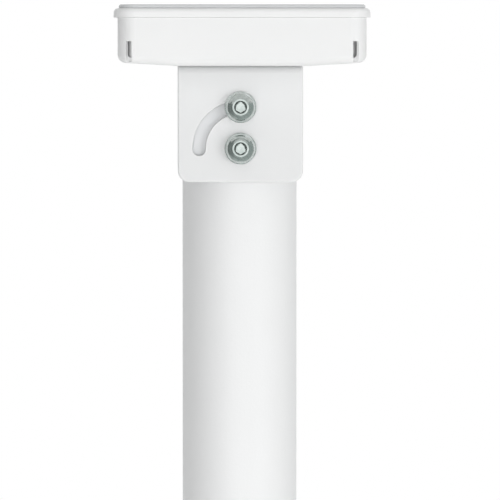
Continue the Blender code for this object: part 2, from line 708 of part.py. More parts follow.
gasket_width = TRAY_WIDTH - 2 * TRAY_WALL - 2 * GAP
gasket_length = TRAY_LENGTH - 2 * TRAY_WALL - 2 * GAP
gasket_low = TRAY_TOP - GASKET_THICKNESS + GAP
cover_gasket = block(
    "cover_gasket",
    HEAD,
    (gasket_width, gasket_length, GASKET_THICKNESS - GAP),
    gasket_low,
    corner=TRAY_CORNER - TRAY_WALL - GAP,
)
gasket_inside = block(
    "cut_gasket_inside",
    HEAD,
    (gasket_width - 2 * GASKET_WIDTH, gasket_length - 2 * GASKET_WIDTH, 3 * GASKET_THICKNESS),
    gasket_low - GASKET_THICKNESS,
    corner=TRAY_CORNER - TRAY_WALL - GASKET_WIDTH,
)
combine(cover_gasket, gasket_inside)
for number, (x, y) in enumerate(CORNERS, start=1):
    place = (x * COVER_SCREW_X, y * COVER_SCREW_Y)
    hole_radius = COVER_SCREW.shank / 2 + PLAY
    hole_low, hole_high = gasket_low - GAP, TRAY_TOP + GAP
    hole = rod(f"cut_gasket_hole_{number}", HEAD, hole_radius, hole_low, hole_high, "Z", place, 12)
    combine(cover_gasket, hole)
finish(cover_gasket, "black_rubber")

display_module = block(
    "display_module",
    HEAD,
    (WINDOW_WIDTH - 2 * GAP, WINDOW_LENGTH - 2 * GAP, MODULE_THICKNESS),
    GLASS_LOW - GAP - MODULE_THICKNESS,
    corner=3 * MM,
    segments=3,
)
finish(display_module, "dark_module")

display_glass = block(
    "display_glass",
    HEAD,
    (COVER_WIDTH - 2 * GLASS_INSET, COVER_LENGTH - 2 * GLASS_INSET, GLASS_THICKNESS),
    GLASS_LOW,
    corner=COVER_CORNER - GLASS_INSET,
    high_edge=GLASS_EDGE,
    segments=6,
)
finish(display_glass, "smoked_glass")
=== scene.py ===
# %% [markdown]
# # A tilting terminal head on a round floor post
#
# The object is a white steel post that carries a flat terminal head. A folded bracket straddles the
# top of the tube. Two button-head screws go through each cheek of the bracket: the lower one is the
# pivot, and the upper one runs in a curved slot and clamps the head anywhere between level and upright.
#
# The solids of every part come ready made, in metres, with +Z up and the front of the post at -Y. This
# file gives them their looks: fine rounded edges, turned screws, glass, and a material for each finish.
# Each piece takes its place from the ready-made part that it stands for, so nothing is placed by eye.

# %% Load the ready-made parts
import math

import bmesh
import bpy
from mathutils import Matrix, Vector


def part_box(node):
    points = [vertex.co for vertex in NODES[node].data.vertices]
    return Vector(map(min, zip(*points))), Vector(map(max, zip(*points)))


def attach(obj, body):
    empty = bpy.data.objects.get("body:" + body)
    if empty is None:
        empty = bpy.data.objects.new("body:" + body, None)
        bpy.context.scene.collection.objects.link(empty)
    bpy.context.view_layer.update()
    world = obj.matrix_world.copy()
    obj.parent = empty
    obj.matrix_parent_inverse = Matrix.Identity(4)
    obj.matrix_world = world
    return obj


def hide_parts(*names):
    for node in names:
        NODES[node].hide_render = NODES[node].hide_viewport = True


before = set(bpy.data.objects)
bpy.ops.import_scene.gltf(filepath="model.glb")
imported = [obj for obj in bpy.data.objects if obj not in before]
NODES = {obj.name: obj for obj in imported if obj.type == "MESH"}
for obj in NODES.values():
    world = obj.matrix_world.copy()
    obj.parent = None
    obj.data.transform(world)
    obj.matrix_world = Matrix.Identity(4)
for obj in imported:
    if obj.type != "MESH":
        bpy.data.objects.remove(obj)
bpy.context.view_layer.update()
MM = 0.001

# %% [markdown]
# ## Sizes read from the parts
#
# A designer measures a neighbour before making a new piece. The lowest and highest corners of a few
# parts give every place that is needed later: the height of the tilt axis, the clamp screw above it,
# the thickness of the bracket's sheet and the radius of the tube. If the parts change, these follow.

# %% Measure the parts
def low(node):
    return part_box(node)[0]


def high(node):
    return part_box(node)[1]


def middle(node):
    return (low(node) + high(node)) / 2


AXIS_HEIGHT = middle("pivot_screw_front").z
LOCK_RADIUS = middle("lock_screw_front").z - AXIS_HEIGHT
TUBE_RADIUS = high("post_tube").x
CHEEK_OUTER = high("tilt_bracket").y
SHEET = high("pivot_bush_rear").y - low("pivot_bush_rear").y
CHEEK_INNER = CHEEK_OUTER - SHEET
CAP_TOP = high("post_cap").z
CAP_RADIUS = CAP_TOP - AXIS_HEIGHT
GAP = 0.3 * MM  # the clearance between parts, and how far a cutter reaches past what it cuts
print(f"tilt axis {AXIS_HEIGHT:.3f} m up, clamp screw {LOCK_RADIUS * 1000:.1f} mm above it")

# %% [markdown]
# ## Camera
#
# The post is seen straight from the front, from a long way off, so its edges stay parallel and the head
# shows neither its top nor its underside. A long lens at 2.5 m does that: moving in close with a short
# lens would open the view up and show the top of the head. The camera is turned towards a point on the
# tube, a little below the tilt axis, so the head is near the top edge and the tube runs out below.

# %% Place the camera
CAMERA_DISTANCE = 2.5
CAMERA_SIDE = math.radians(-0.8)  # a little to the left of straight ahead
CAMERA_HEIGHT = 0.985
VIEW_WIDTH = 0.2632  # metres across the frame, at the tube
AIM = Vector((0.0055, 0.0, 0.8713))

camera_data = bpy.data.cameras.new("camera")
camera_data.sensor_width = 36.0
camera_data.lens = camera_data.sensor_width * CAMERA_DISTANCE / VIEW_WIDTH
camera_data.clip_start, camera_data.clip_end = 0.1, 100.0
camera = bpy.data.objects.new("camera", camera_data)
bpy.context.scene.collection.objects.link(camera)
camera.location = (
    CAMERA_DISTANCE * math.sin(CAMERA_SIDE),
    -CAMERA_DISTANCE * math.cos(CAMERA_SIDE),
    CAMERA_HEIGHT,
)
camera.rotation_mode = "QUATERNION"
camera.rotation_quaternion = (AIM - camera.location).to_track_quat("-Z", "Y")
bpy.context.scene.camera = camera
print(f"lens {camera_data.lens:.0f} mm")

# %% [markdown]
# ## Light
#
# A white thing on white only shows its form if the light has a direction. The room here is a soft grey
# that is darker on the left, and brighter overhead so that the floor stays pale. What a ray sees of it
# depends on what asks. A ray straight from the camera sees plain white. A matt surface is lit by the
# soft grey. Polished metal mirrors a room of its own: dim above, to the left and to the right, and white
# behind and straight towards the viewer. Without its dim parts the screws would be as white as the
# paint, and a real studio hangs dark cloth beside the lens for the same reason.

# %% Helpers that blend
def blend_range(tree, value, low_end, high_end):
    """0 at low_end, 1 at high_end, and smooth between."""
    node = tree.nodes.new("ShaderNodeMapRange")
    node.interpolation_type = "SMOOTHSTEP"
    node.inputs["From Min"].default_value = low_end
    node.inputs["From Max"].default_value = high_end
    tree.links.new(value, node.inputs["Value"])
    return node.outputs["Result"]


def mix_colour(tree, mask, first, second):
    """Goes from the first colour to the second as the mask goes from 0 to 1. A colour is RGB or a socket."""
    node = tree.nodes.new("ShaderNodeMix")
    node.data_type = "RGBA"
    tree.links.new(mask, node.inputs["Factor"])
    for title, value in (("A", first), ("B", second)):
        socket = next(s for s in node.inputs if s.name == title and s.type == "RGBA")
        if isinstance(value, tuple):
            socket.default_value = (*value, 1.0)
        else:
            tree.links.new(value, socket)
    return next(s for s in node.outputs if s.type == "RGBA")


def mix_shaders(tree, mask, first, second):
    """The first shader where the mask is 0 and the second where it is 1."""
    node = tree.nodes.new("ShaderNodeMixShader")
    tree.links.new(mask, node.inputs["Fac"])
    tree.links.new(first, node.inputs[1])
    tree.links.new(second, node.inputs[2])
    return node.outputs["Shader"]


# %% Build the room's light
LEFT_WALL = (0.125, 0.125, 0.127)
RIGHT_WALL = (0.34, 0.34, 0.338)
CEILING = (0.95, 0.95, 0.945)
MIRROR_LEFT = (0.19, 0.21, 0.205)
MIRROR_RIGHT = (0.36, 0.40, 0.39)
MIRROR_FRONT = (0.98, 1.02, 1.01)
MIRROR_BEHIND = (0.95, 0.97, 0.97)
MIRROR_ABOVE = (0.17, 0.19, 0.185)
MIRROR_BELOW = (0.42, 0.46, 0.45)
WHITE = (1.0, 1.0, 1.0)

world = bpy.data.worlds.new("room")
bpy.context.scene.world = world
world.use_nodes = True
tree = world.node_tree
tree.nodes.clear()
where = tree.nodes.new("ShaderNodeTexCoord")
axes = tree.nodes.new("ShaderNodeSeparateXYZ")
tree.links.new(where.outputs["Generated"], axes.inputs["Vector"])


def room_blend(axis, start, end, first, second):
    """Goes from the first colour to the second while a ray's X, Y or Z goes from start to end."""
    return mix_colour(tree, blend_range(tree, axes.outputs[axis], start, end), first, second)


def background(colour):
    """A background shader in a plain colour or in one that comes from a socket."""
    node = tree.nodes.new("ShaderNodeBackground")
    if isinstance(colour, tuple):
        node.inputs["Color"].default_value = (*colour, 1.0)
    else:
        tree.links.new(colour, node.inputs["Color"])
    return node.outputs["Background"]


walls = room_blend("X", -0.9, 0.9, LEFT_WALL, RIGHT_WALL)
lighting = room_blend("Z", 0.35, 0.85, walls, CEILING)
mirror = room_blend("X", -0.55, 0.75, MIRROR_LEFT, MIRROR_RIGHT)
mirror = room_blend("Z", 0.35, 0.9, mirror, MIRROR_ABOVE)
mirror = room_blend("Z", -0.25, -0.9, mirror, MIRROR_BELOW)
mirror = room_blend("Y", -0.86, -0.97, mirror, MIRROR_FRONT)
mirror = room_blend("Y", 0.25, 0.75, mirror, MIRROR_BEHIND)
rays = tree.nodes.new("ShaderNodeLightPath")
seen = mix_shaders(tree, rays.outputs["Is Glossy Ray"], background(lighting), background(mirror))
seen = mix_shaders(tree, rays.outputs["Is Camera Ray"], seen, background(WHITE))
room = tree.nodes.new("ShaderNodeOutputWorld")
tree.links.new(seen, room.inputs["Surface"])
print(len(tree.nodes), "nodes in the room")

# %% [markdown]
# The lamps are large squares, of 0.8 to 2 metres. A lamp's softness comes from its size as seen from the
# object, so such squares a few metres away leave no hard shadow under the head. They are placed by a
# direction and a distance round the top of the post, which is easier to think about than coordinates.
# They light the matt surfaces only: in a mirror they would be bare white squares.

# %% Place the lamps
LAMP_TARGET = Vector((0.0, 0.0, AXIS_HEIGHT))
LAMPS = (  # name, degrees to the right of the front, degrees up, distance, size, watts
    ("key", 44, -2, 3.0, 1.6, 25.5),
    ("front", -14, -3, 3.0, 1.6, 26.0),
    ("fill", 8, -22, 1.7, 0.8, 2.1),
    ("back", 165, 25, 3.2, 2.0, 16.0),
)
for name, around, up, distance, size, watts in LAMPS:
    lamp_data = bpy.data.lights.new(name, "AREA")
    lamp_data.size = size
    lamp_data.energy = watts
    lamp = bpy.data.objects.new(name, lamp_data)
    bpy.context.scene.collection.objects.link(lamp)
    angle, rise = math.radians(around), math.radians(up)
    level = math.cos(rise)
    direction = Vector((math.sin(angle) * level, -math.cos(angle) * level, math.sin(rise)))
    lamp.location = LAMP_TARGET + direction * distance
    lamp.rotation_euler = (-direction).to_track_quat("-Z", "Y").to_euler()
    lamp.visible_glossy = False
    lamp.visible_camera = False
bpy.context.scene.view_settings.view_transform = "Standard"
print("lamps:", [lamp[0] for lamp in LAMPS])

# %% [markdown]
# ## Node groups: the effects that several finishes share
#
# Paint, moulded plastic, zinc and nylon all have a fine surface texture and catch a little dust, and
# painted or moulded edges get a painted highlight, a band a touch lighter, for the light that their
# rounding catches. Each of these is a node group with its own sockets, so a finish only says how coarse
# or how strong it wants the effect. A group puts out masks and heights, and the shader itself stays in
# the material, where it is easy to see and to export.

# %% Helpers for a node group
def start_group(name, inputs, outputs):
    """Makes a group with (name, default) number inputs and number outputs; returns its tree and ends."""
    group = bpy.data.node_groups.new(name, "ShaderNodeTree")
    for title, value in inputs:
        socket = group.interface.new_socket(title, in_out="INPUT", socket_type="NodeSocketFloat")
        socket.default_value = value
    for title in outputs:
        group.interface.new_socket(title, in_out="OUTPUT", socket_type="NodeSocketFloat")
    return group, group.nodes.new("NodeGroupInput"), group.nodes.new("NodeGroupOutput")


def math_node(tree, operation, first, second=None):
    """The result of a Math node. Its inputs are sockets or plain numbers."""
    node = tree.nodes.new("ShaderNodeMath")
    node.operation = operation
    for slot, value in enumerate((first, second)):
        if value is None:
            continue
        if isinstance(value, (int, float)):
            node.inputs[slot].default_value = value
        else:
            tree.links.new(value, node.inputs[slot])
    return node.outputs["Value"]


def noise_node(tree, vector, scale, detail, roughness=0.5):
    """A noise from 0 to 1. The scale is a socket or a plain number."""
    node = tree.nodes.new("ShaderNodeTexNoise")
    node.inputs["Detail"].default_value = detail
    node.inputs["Roughness"].default_value = roughness
    tree.links.new(vector, node.inputs["Vector"])
    if isinstance(scale, (int, float)):
        node.inputs["Scale"].default_value = scale
    else:
        tree.links.new(scale, node.inputs["Scale"])
    return node.outputs["Fac"]


# %% [markdown]
# **Skin** is the fine texture of a coat or a mould. Powder coat has soft waves about a millimetre and a
# half across, called orange peel, with a finer grit on top. A moulded face has only the grit. The group
# puts out a height for a Bump node, and a slow blotch that later shifts colour and roughness a little.

# %% Skin group
BLOTCH_SCALE = 14.0  # blotches of about 7 cm


def make_skin():
    inputs = (("Wave Scale", 650.0), ("Grit Scale", 3200.0), ("Grit Share", 0.4))
    group, given, put = start_group("skin", inputs, ("Height", "Blotch"))
    place = group.nodes.new("ShaderNodeTexCoord").outputs["Object"]
    wave = noise_node(group, place, given.outputs["Wave Scale"], detail=1.0)
    grit = noise_node(group, place, given.outputs["Grit Scale"], detail=3.0, roughness=0.6)
    part = math_node(group, "MULTIPLY", grit, given.outputs["Grit Share"])
    group.links.new(math_node(group, "ADD", wave, part), put.inputs["Height"])
    blotch = noise_node(group, place, BLOTCH_SCALE, detail=3.0, roughness=0.55)
    group.links.new(blotch, put.inputs["Blotch"])
    return group


SKIN = make_skin()
print("group:", SKIN.name)

# %% [markdown]
# **Edge** finds the narrow band along rounded edges. The Bevel node gives the normal that the surface
# would have if its edges were rounder. Where that differs from the true normal there is an edge. A mask
# painted by hand would have to be painted again each time a shape changes.

# %% Edge group
# The white finishes and the zinc use this mask for a painted highlight along their edges.
EDGE_BEND = (0.01, 0.16)  # one minus the cosine of the turn, from about 8 to 33 degrees


def make_edge():
    group, given, put = start_group("edge", (("Width", 0.0012), ("Strength", 1.0)), ("Mask",))
    bevel = group.nodes.new("ShaderNodeBevel")
    bevel.samples = 4
    group.links.new(given.outputs["Width"], bevel.inputs["Radius"])
    true_normal = group.nodes.new("ShaderNodeNewGeometry").outputs["True Normal"]
    facing = group.nodes.new("ShaderNodeVectorMath")
    facing.operation = "DOT_PRODUCT"
    group.links.new(bevel.outputs["Normal"], facing.inputs[0])
    group.links.new(true_normal, facing.inputs[1])
    bend = math_node(group, "SUBTRACT", 1.0, facing.outputs["Value"])
    band = blend_range(group, bend, *EDGE_BEND)
    group.links.new(math_node(group, "MULTIPLY", band, given.outputs["Strength"]), put.inputs["Mask"])
    return group


EDGE = make_edge()
print("group:", EDGE.name)

# %% [markdown]
# **Dust** settles on faces that look up, more in some places than in others. The mask is the upward part
# of the normal times a broken noise. It is very weak on this clean object, but it keeps the base plate
# and the top of the head from being one even white.

# %% Dust group
DUST_SLOPE = (0.35, 0.95)  # the upward part of the normal: no dust below the first, full above the second


def make_dust():
    group, given, put = start_group("dust", (("Amount", 0.3), ("Scale", 60.0)), ("Mask",))
    normal = group.nodes.new("ShaderNodeNewGeometry").outputs["Normal"]
    parts = group.nodes.new("ShaderNodeSeparateXYZ")
    group.links.new(normal, parts.inputs["Vector"])
    upward = blend_range(group, parts.outputs["Z"], *DUST_SLOPE)
    place = group.nodes.new("ShaderNodeTexCoord").outputs["Object"]
    broken = blend_range(group, noise_node(group, place, given.outputs["Scale"], 5.0, 0.65), 0.4, 0.75)
    mask = math_node(group, "MULTIPLY", upward, broken)
    group.links.new(math_node(group, "MULTIPLY", mask, given.outputs["Amount"]), put.inputs["Mask"])
    return group


DUST = make_dust()
print("group:", DUST.name)

# %% [markdown]
# **Turning** is the trace of the lathe on a screw's head and on a washer: rings round the piece's own Z
# axis, some deeper than others, with a mask of tarnish in patches. It needs the piece's origin on its
# axis, so each turned piece is built round its own origin and then placed.

# %% Turning group
TARNISH_SCALE = 420.0


def make_turning():
    inputs = (("Ring Scale", 1500.0), ("Depth", 1.0))
    group, given, put = start_group("turning", inputs, ("Height", "Tarnish"))
    place = group.nodes.new("ShaderNodeTexCoord").outputs["Object"]
    flat = group.nodes.new("ShaderNodeVectorMath")
    flat.operation = "MULTIPLY"
    flat.inputs[1].default_value = (1.0, 1.0, 0.0)
    group.links.new(place, flat.inputs[0])
    radius = group.nodes.new("ShaderNodeVectorMath")
    radius.operation = "LENGTH"
    group.links.new(flat.outputs["Vector"], radius.inputs[0])
    along = group.nodes.new("ShaderNodeCombineXYZ")
    group.links.new(radius.outputs["Value"], along.inputs["X"])
    rings = noise_node(group, along.outputs["Vector"], given.outputs["Ring Scale"], 2.0, 0.6)
    group.links.new(math_node(group, "MULTIPLY", rings, given.outputs["Depth"]), put.inputs["Height"])
    tarnish = noise_node(group, place, TARNISH_SCALE, 4.0, 0.62)
    group.links.new(tarnish, put.inputs["Tarnish"])
    return group


TURNING = make_turning()
print("group:", TURNING.name)

# %% [markdown]
# ## Finishes
#
# Every finish of the object is one Principled BSDF. What is the same all over the surface, such as the
# metallic value or the coat, is set on the shader's own sockets. What changes over the surface comes in
# through links: the colour moves between two near shades, the roughness between two near values, and
# the bump takes the height from a group.

# %% Helpers for a finish
def start_finish(name, metallic=0.0, **plain_values):
    """A new material with one Principled BSDF; plain_values name its sockets, with _ for a space."""
    material = bpy.data.materials.new(name)
    material.use_nodes = True
    shader = material.node_tree.nodes["Principled BSDF"]
    shader.inputs["Metallic"].default_value = metallic
    for title, value in plain_values.items():
        shader.inputs[title.replace("_", " ")].default_value = value
    return material, material.node_tree, shader


def place_group(tree, group, **values):
    """Puts a group into a material, with its own values for that material."""
    node = tree.nodes.new("ShaderNodeGroup")
    node.node_tree = group
    for title, value in values.items():
        node.inputs[title.replace("_", " ")].default_value = value
    return node


def set_roughness(tree, shader, mask, smooth, rough):
    """The roughness goes from smooth to rough as the mask goes from 0 to 1."""
    node = tree.nodes.new("ShaderNodeMapRange")
    node.inputs["To Min"].default_value = smooth
    node.inputs["To Max"].default_value = rough
    tree.links.new(mask, node.inputs["Value"])
    tree.links.new(node.outputs["Result"], shader.inputs["Roughness"])


def set_bump(tree, shader, height, strength, depth):
    """A height of 0 to 1 becomes a relief that is depth metres deep."""
    node = tree.nodes.new("ShaderNodeBump")
    node.inputs["Strength"].default_value = strength
    node.inputs["Distance"].default_value = depth
    tree.links.new(height, node.inputs["Height"])
    tree.links.new(node.outputs["Normal"], shader.inputs["Normal"])


# %% [markdown]
# ** White coats and plastics.** The post and bracket are powder coated, the head, the cap and the collar
# are moulded. They differ in the scale of their skin, in gloss and in a slight shift of white, so one
# function makes all four, with the differences as its values. The bracket's coat is a darker copy of
# the post's: painted shade for the shadow under the head. The painted highlight on the edges is the same
# white on all.

# %% White finishes
DUST_COLOUR = (0.60, 0.58, 0.54)
# The white of the painted highlight along the edges of the white finishes
EDGE_HIGHLIGHT_WHITE = (0.90, 0.90, 0.90)
WHITE_RELIEF = 0.12 * MM


def make_white(name, shade, other_shade, wave, grit, bump, roughness, dust, edge_width):
    """White paint or plastic, between two near shades, with a painted highlight on the edges and a little
    dust.
    """
    material, tree, shader = start_finish(name, Specular_IOR_Level=0.45)
    skin = place_group(tree, SKIN, Wave_Scale=wave, Grit_Scale=grit)
    edge = place_group(tree, EDGE, Width=edge_width, Strength=0.8)
    settled = place_group(tree, DUST, Amount=dust)
    colour = mix_colour(tree, skin.outputs["Blotch"], shade, other_shade)
    # Painted highlight: the edges turn lighter where the edge mask finds them
    colour = mix_colour(tree, edge.outputs["Mask"], colour, EDGE_HIGHLIGHT_WHITE)
    colour = mix_colour(tree, settled.outputs["Mask"], colour, DUST_COLOUR)
    tree.links.new(colour, shader.inputs["Base Color"])
    set_roughness(tree, shader, skin.outputs["Blotch"], *roughness)
    set_bump(tree, shader, skin.outputs["Height"], bump, WHITE_RELIEF)
    return material


POWDER_COAT = make_white(
    "white_powder_coat", (0.800, 0.805, 0.810), (0.830, 0.835, 0.838),
    wave=650.0, grit=3200.0, bump=0.35, roughness=(0.36, 0.46), dust=0.16, edge_width=1.4 * MM,
)
# A darker copy of the post's powder coat for the bracket: painted shade for the shadow under the head
SHADED_BRACKET_COAT = make_white(
    "bracket_powder_coat_painted_shade", (0.745, 0.750, 0.755), (0.775, 0.780, 0.783),
    wave=650.0, grit=3200.0, bump=0.35, roughness=(0.36, 0.46), dust=0.16, edge_width=1.6 * MM,
)
WHITE_PLASTIC = make_white(
    "white_plastic", (0.835, 0.840, 0.842), (0.855, 0.858, 0.860),
    wave=1400.0, grit=5200.0, bump=0.22, roughness=(0.34, 0.42), dust=0.14, edge_width=0.8 * MM,
)
HEAD_PLASTIC = make_white(
    "white_head_plastic", (0.800, 0.805, 0.806), (0.820, 0.823, 0.824),
    wave=1800.0, grit=6000.0, bump=0.18, roughness=(0.40, 0.48), dust=0.12, edge_width=0.8 * MM,
)
print("white finishes:", [m.name for m in (POWDER_COAT, SHADED_BRACKET_COAT, WHITE_PLASTIC, HEAD_PLASTIC)])

# %% [markdown]
# ** Zinc-plated screws and washers.** Clear zinc is a mirror with a fine grain, slightly green against
# the white paint. The rings of the lathe break the highlight, and the tarnish shifts the colour between
# a cool and a warmer grey. An edge mask makes the rims brighter: a painted highlight along them.

# %% Zinc
ZINC_DULL, ZINC_BRIGHT = (0.60, 0.65, 0.63), (0.74, 0.78, 0.76)
# The colour of the painted highlight along the rims
ZINC_RIM_HIGHLIGHT = (0.90, 0.92, 0.91)
ZINC_RELIEF = 0.05 * MM


def make_zinc():
    material, tree, shader = start_finish("zinc_plated_steel", metallic=1.0)
    turning = place_group(tree, TURNING, Ring_Scale=1500.0, Depth=1.0)
    edge = place_group(tree, EDGE, Width=0.5 * MM, Strength=0.7)
    patches = blend_range(tree, turning.outputs["Tarnish"], 0.35, 0.68)
    colour = mix_colour(tree, patches, ZINC_DULL, ZINC_BRIGHT)
    # Painted highlight: the rims turn brighter where the edge mask finds them
    colour = mix_colour(tree, edge.outputs["Mask"], colour, ZINC_RIM_HIGHLIGHT)
    tree.links.new(colour, shader.inputs["Base Color"])
    set_roughness(tree, shader, patches, 0.22, 0.14)
    set_bump(tree, shader, turning.outputs["Height"], 0.35, ZINC_RELIEF)
    return material


ZINC = make_zinc()
print("finish:", ZINC.name)

# %% [markdown]
# **Aluminium, nylon and rubber** are seen through the slot, under the tilted head or not at all. They
# still get their own surface: sawn and milled lines on the aluminium blocks, a waxy grain on the nylon
# and a dull, slightly dusty mould skin on the rubber.

# %% Inner metals and plastics
SAWN, MILLED, BROKEN_EDGE = (0.50, 0.51, 0.52), (0.66, 0.67, 0.68), (0.80, 0.81, 0.82)
INNER_RELIEF = 0.1 * MM
LINE_STRETCH = (1.0, 1.0, 26.0)  # the tool marks run across Z


def make_aluminium():
    material, tree, shader = start_finish("cast_aluminium", metallic=1.0)
    place = tree.nodes.new("ShaderNodeTexCoord")
    stretch = tree.nodes.new("ShaderNodeMapping")
    stretch.inputs["Scale"].default_value = LINE_STRETCH
    tree.links.new(place.outputs["Object"], stretch.inputs["Vector"])
    lines = noise_node(tree, stretch.outputs["Vector"], 90.0, 4.0, 0.6)
    edge = place_group(tree, EDGE, Width=0.5 * MM, Strength=0.6)
    colour = mix_colour(tree, lines, SAWN, MILLED)
    colour = mix_colour(tree, edge.outputs["Mask"], colour, BROKEN_EDGE)
    tree.links.new(colour, shader.inputs["Base Color"])
    set_roughness(tree, shader, lines, 0.30, 0.48)
    set_bump(tree, shader, lines, 0.25, INNER_RELIEF)
    return material


def make_dull(name, shade, other_shade, wave, grit, bump, roughness, dust):
    """A plain moulded or rubbed surface: skin, two near shades and a little dust."""
    material, tree, shader = start_finish(name)
    skin = place_group(tree, SKIN, Wave_Scale=wave, Grit_Scale=grit)
    settled = place_group(tree, DUST, Amount=dust)
    colour = mix_colour(tree, skin.outputs["Blotch"], shade, other_shade)
    colour = mix_colour(tree, settled.outputs["Mask"], colour, DUST_COLOUR)
    tree.links.new(colour, shader.inputs["Base Color"])
    set_roughness(tree, shader, skin.outputs["Blotch"], *roughness)
    set_bump(tree, shader, skin.outputs["Height"], bump, INNER_RELIEF)
    return material


ALUMINIUM = make_aluminium()
NYLON = make_dull(
    "grey_nylon", (0.68, 0.69, 0.70), (0.75, 0.76, 0.77),
    wave=1200.0, grit=4200.0, bump=0.2, roughness=(0.42, 0.55), dust=0.05,
)
RUBBER = make_dull(
    "black_rubber", (0.022, 0.022, 0.023), (0.040, 0.040, 0.041),
    wave=1500.0, grit=4200.0, bump=0.5, roughness=(0.62, 0.80), dust=0.25,
)
MODULE = make_dull(
    "dark_module", (0.030, 0.030, 0.034), (0.050, 0.050, 0.055),
    wave=900.0, grit=3600.0, bump=0.2, roughness=(0.30, 0.42), dust=0.05,
)
print("inner finishes:", [m.name for m in (ALUMINIUM, NYLON, RUBBER, MODULE)])

# %% [markdown]
# **Circuit board.** A green board shows its copper tracks as slightly lighter lines under the mask. A
# Brick texture with thin mortar gives rows of tracks that turn corners, about half a millimetre wide. The
# board sits inside the head, so this is only seen when the cover is taken off.

# %% Circuit board
MASK_GREEN, OTHER_GREEN, TRACK_GREEN = (0.018, 0.15, 0.075), (0.026, 0.19, 0.10), (0.07, 0.33, 0.17)
TRACK_RELIEF = 0.08 * MM


def make_board():
    material, tree, shader = start_finish("circuit_board", Coat_Weight=0.35)
    place = tree.nodes.new("ShaderNodeTexCoord")
    tracks = tree.nodes.new("ShaderNodeTexBrick")
    tracks.inputs["Scale"].default_value = 95.0
    tracks.inputs["Mortar Size"].default_value = 0.06
    tree.links.new(place.outputs["Object"], tracks.inputs["Vector"])
    skin = place_group(tree, SKIN, Wave_Scale=500.0, Grit_Scale=2600.0)
    green = mix_colour(tree, skin.outputs["Blotch"], MASK_GREEN, OTHER_GREEN)
    colour = mix_colour(tree, tracks.outputs["Fac"], green, TRACK_GREEN)
    tree.links.new(colour, shader.inputs["Base Color"])
    set_roughness(tree, shader, skin.outputs["Blotch"], 0.34, 0.5)
    set_bump(tree, shader, tracks.outputs["Fac"], 0.3, TRACK_RELIEF)
    return material


BOARD = make_board()
print("finish:", BOARD.name)

# %% [markdown]
# ## Building blocks for the shapes
#
# Most of the object is turned, folded or moulded. A turned part is a profile spun by a Screw modifier. A
# folded or moulded part starts as an outline with a depth, gets its holes from Boolean modifiers, and
# its edges from a Bevel modifier. The modifiers are applied as soon as the shape is done, so what is
# left is a plain mesh with clean normals.

# %% Objects, modifiers and shading
def new_object(name, mesh, place=(0.0, 0.0, 0.0), turn=0.0):
    """Links a mesh as an object; turn is a rotation about X, in degrees."""
    obj = bpy.data.objects.new(name, mesh)
    obj.location = place
    obj.rotation_euler.x = math.radians(turn)
    bpy.context.scene.collection.objects.link(obj)
    bpy.context.view_layer.update()
    return obj


def object_from(name, bm):
    """Links a finished bmesh, with its faces turned outwards."""
    if bm.calc_volume(signed=True) < 0:
        bmesh.ops.reverse_faces(bm, faces=bm.faces)
    mesh = bpy.data.meshes.new(name)
    bm.to_mesh(mesh)
    bm.free()
    return new_object(name, mesh)


def gather(pieces):
    """Joins objects that don't touch each other, so that one Boolean does the work of many."""
    bm = bmesh.new()
    for piece in pieces:
        count = len(bm.verts)
        bm.from_mesh(piece.data)
        bm.verts.ensure_lookup_table()
        bmesh.ops.transform(bm, matrix=piece.matrix_world, verts=bm.verts[count:])
    mesh = bpy.data.meshes.new(pieces[0].name)
    bm.to_mesh(mesh)
    bm.free()
    for piece in pieces:
        bpy.data.objects.remove(piece)
    return new_object(mesh.name, mesh)


def combine(obj, *others, operation="DIFFERENCE"):
    """Cuts the others out of a piece, or joins or intersects them with it, when it is settled."""
    other = others[0] if len(others) == 1 else gather(others)
    step = obj.modifiers.new(other.name, "BOOLEAN")
    step.operation = operation
    step.solver = "EXACT"
    step.object = other
    other.hide_render = True


def settle(obj):
    """Applies every modifier and removes the cutters that they used."""
    cutters = [step.object for step in obj.modifiers if step.type == "BOOLEAN"]
    bpy.context.view_layer.update()
    graph = bpy.context.evaluated_depsgraph_get()
    mesh = bpy.data.meshes.new_from_object(obj.evaluated_get(graph))
    obj.modifiers.clear()
    obj.data = mesh
    for cutter in cutters:
        bpy.data.objects.remove(cutter)
    return obj


def soften(obj, width, segments=3, angle=32.0):
    """Rounds the edges that turn by more than angle degrees, and shades the whole smooth."""
    step = obj.modifiers.new("rounding", "BEVEL")
    step.width = width
    step.segments = segments
    step.limit_method = "ANGLE"
    step.angle_limit = math.radians(angle)
    step.miter_outer = "MITER_ARC"
    step.use_clamp_overlap = True
    obj.data.shade_smooth()
    even = obj.modifiers.new("even_normals", "WEIGHTED_NORMAL")
    even.keep_sharp = True
    return settle(obj)


def dress(obj, material, slot, body, *nodes):
    """Gives a piece its finish, lets it move with a body and hides the parts that it stands for."""
    obj.data.materials.clear()
    obj.data.materials.append(material)
    for polygon in obj.data.polygons:
        polygon.material_index = 0
    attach(obj, body)
    if nodes:
        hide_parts(*nodes)
    print(f"{obj.name}: {len(obj.data.polygons)} faces")
    return obj


# %% Basic shapes
MERGE_GAP = 0.001 * MM


def arc(centre, radius, start, end, steps):
    """Points along an arc, from start to end in degrees."""
    points = []
    for step in range(steps + 1):
        angle = math.radians(start + (end - start) * step / steps)
        points.append((centre[0] + radius * math.cos(angle), centre[1] + radius * math.sin(angle)))
    return points


def turned(name, profile, sides=128, place=(0.0, 0.0, 0.0), turn=0.0):
    """Spins (radius, height) points about Z; they run down the outer side. One off the axis is a ring."""
    count = len(profile)
    edges = [(i, i + 1) for i in range(count - 1)]
    if profile[0][0] > 0:
        edges.append((count - 1, 0))
    mesh = bpy.data.meshes.new(name)
    mesh.from_pydata([(radius, 0.0, height) for radius, height in profile], edges, [])
    obj = new_object(name, mesh, place, turn)
    spin = obj.modifiers.new("spin", "SCREW")
    spin.steps = spin.render_steps = sides
    spin.use_merge_vertices = True
    spin.merge_threshold = MERGE_GAP
    spin.use_smooth_shade = True
    settle(obj)
    obj.data.set_sharp_from_angle(angle=math.radians(38))
    return obj


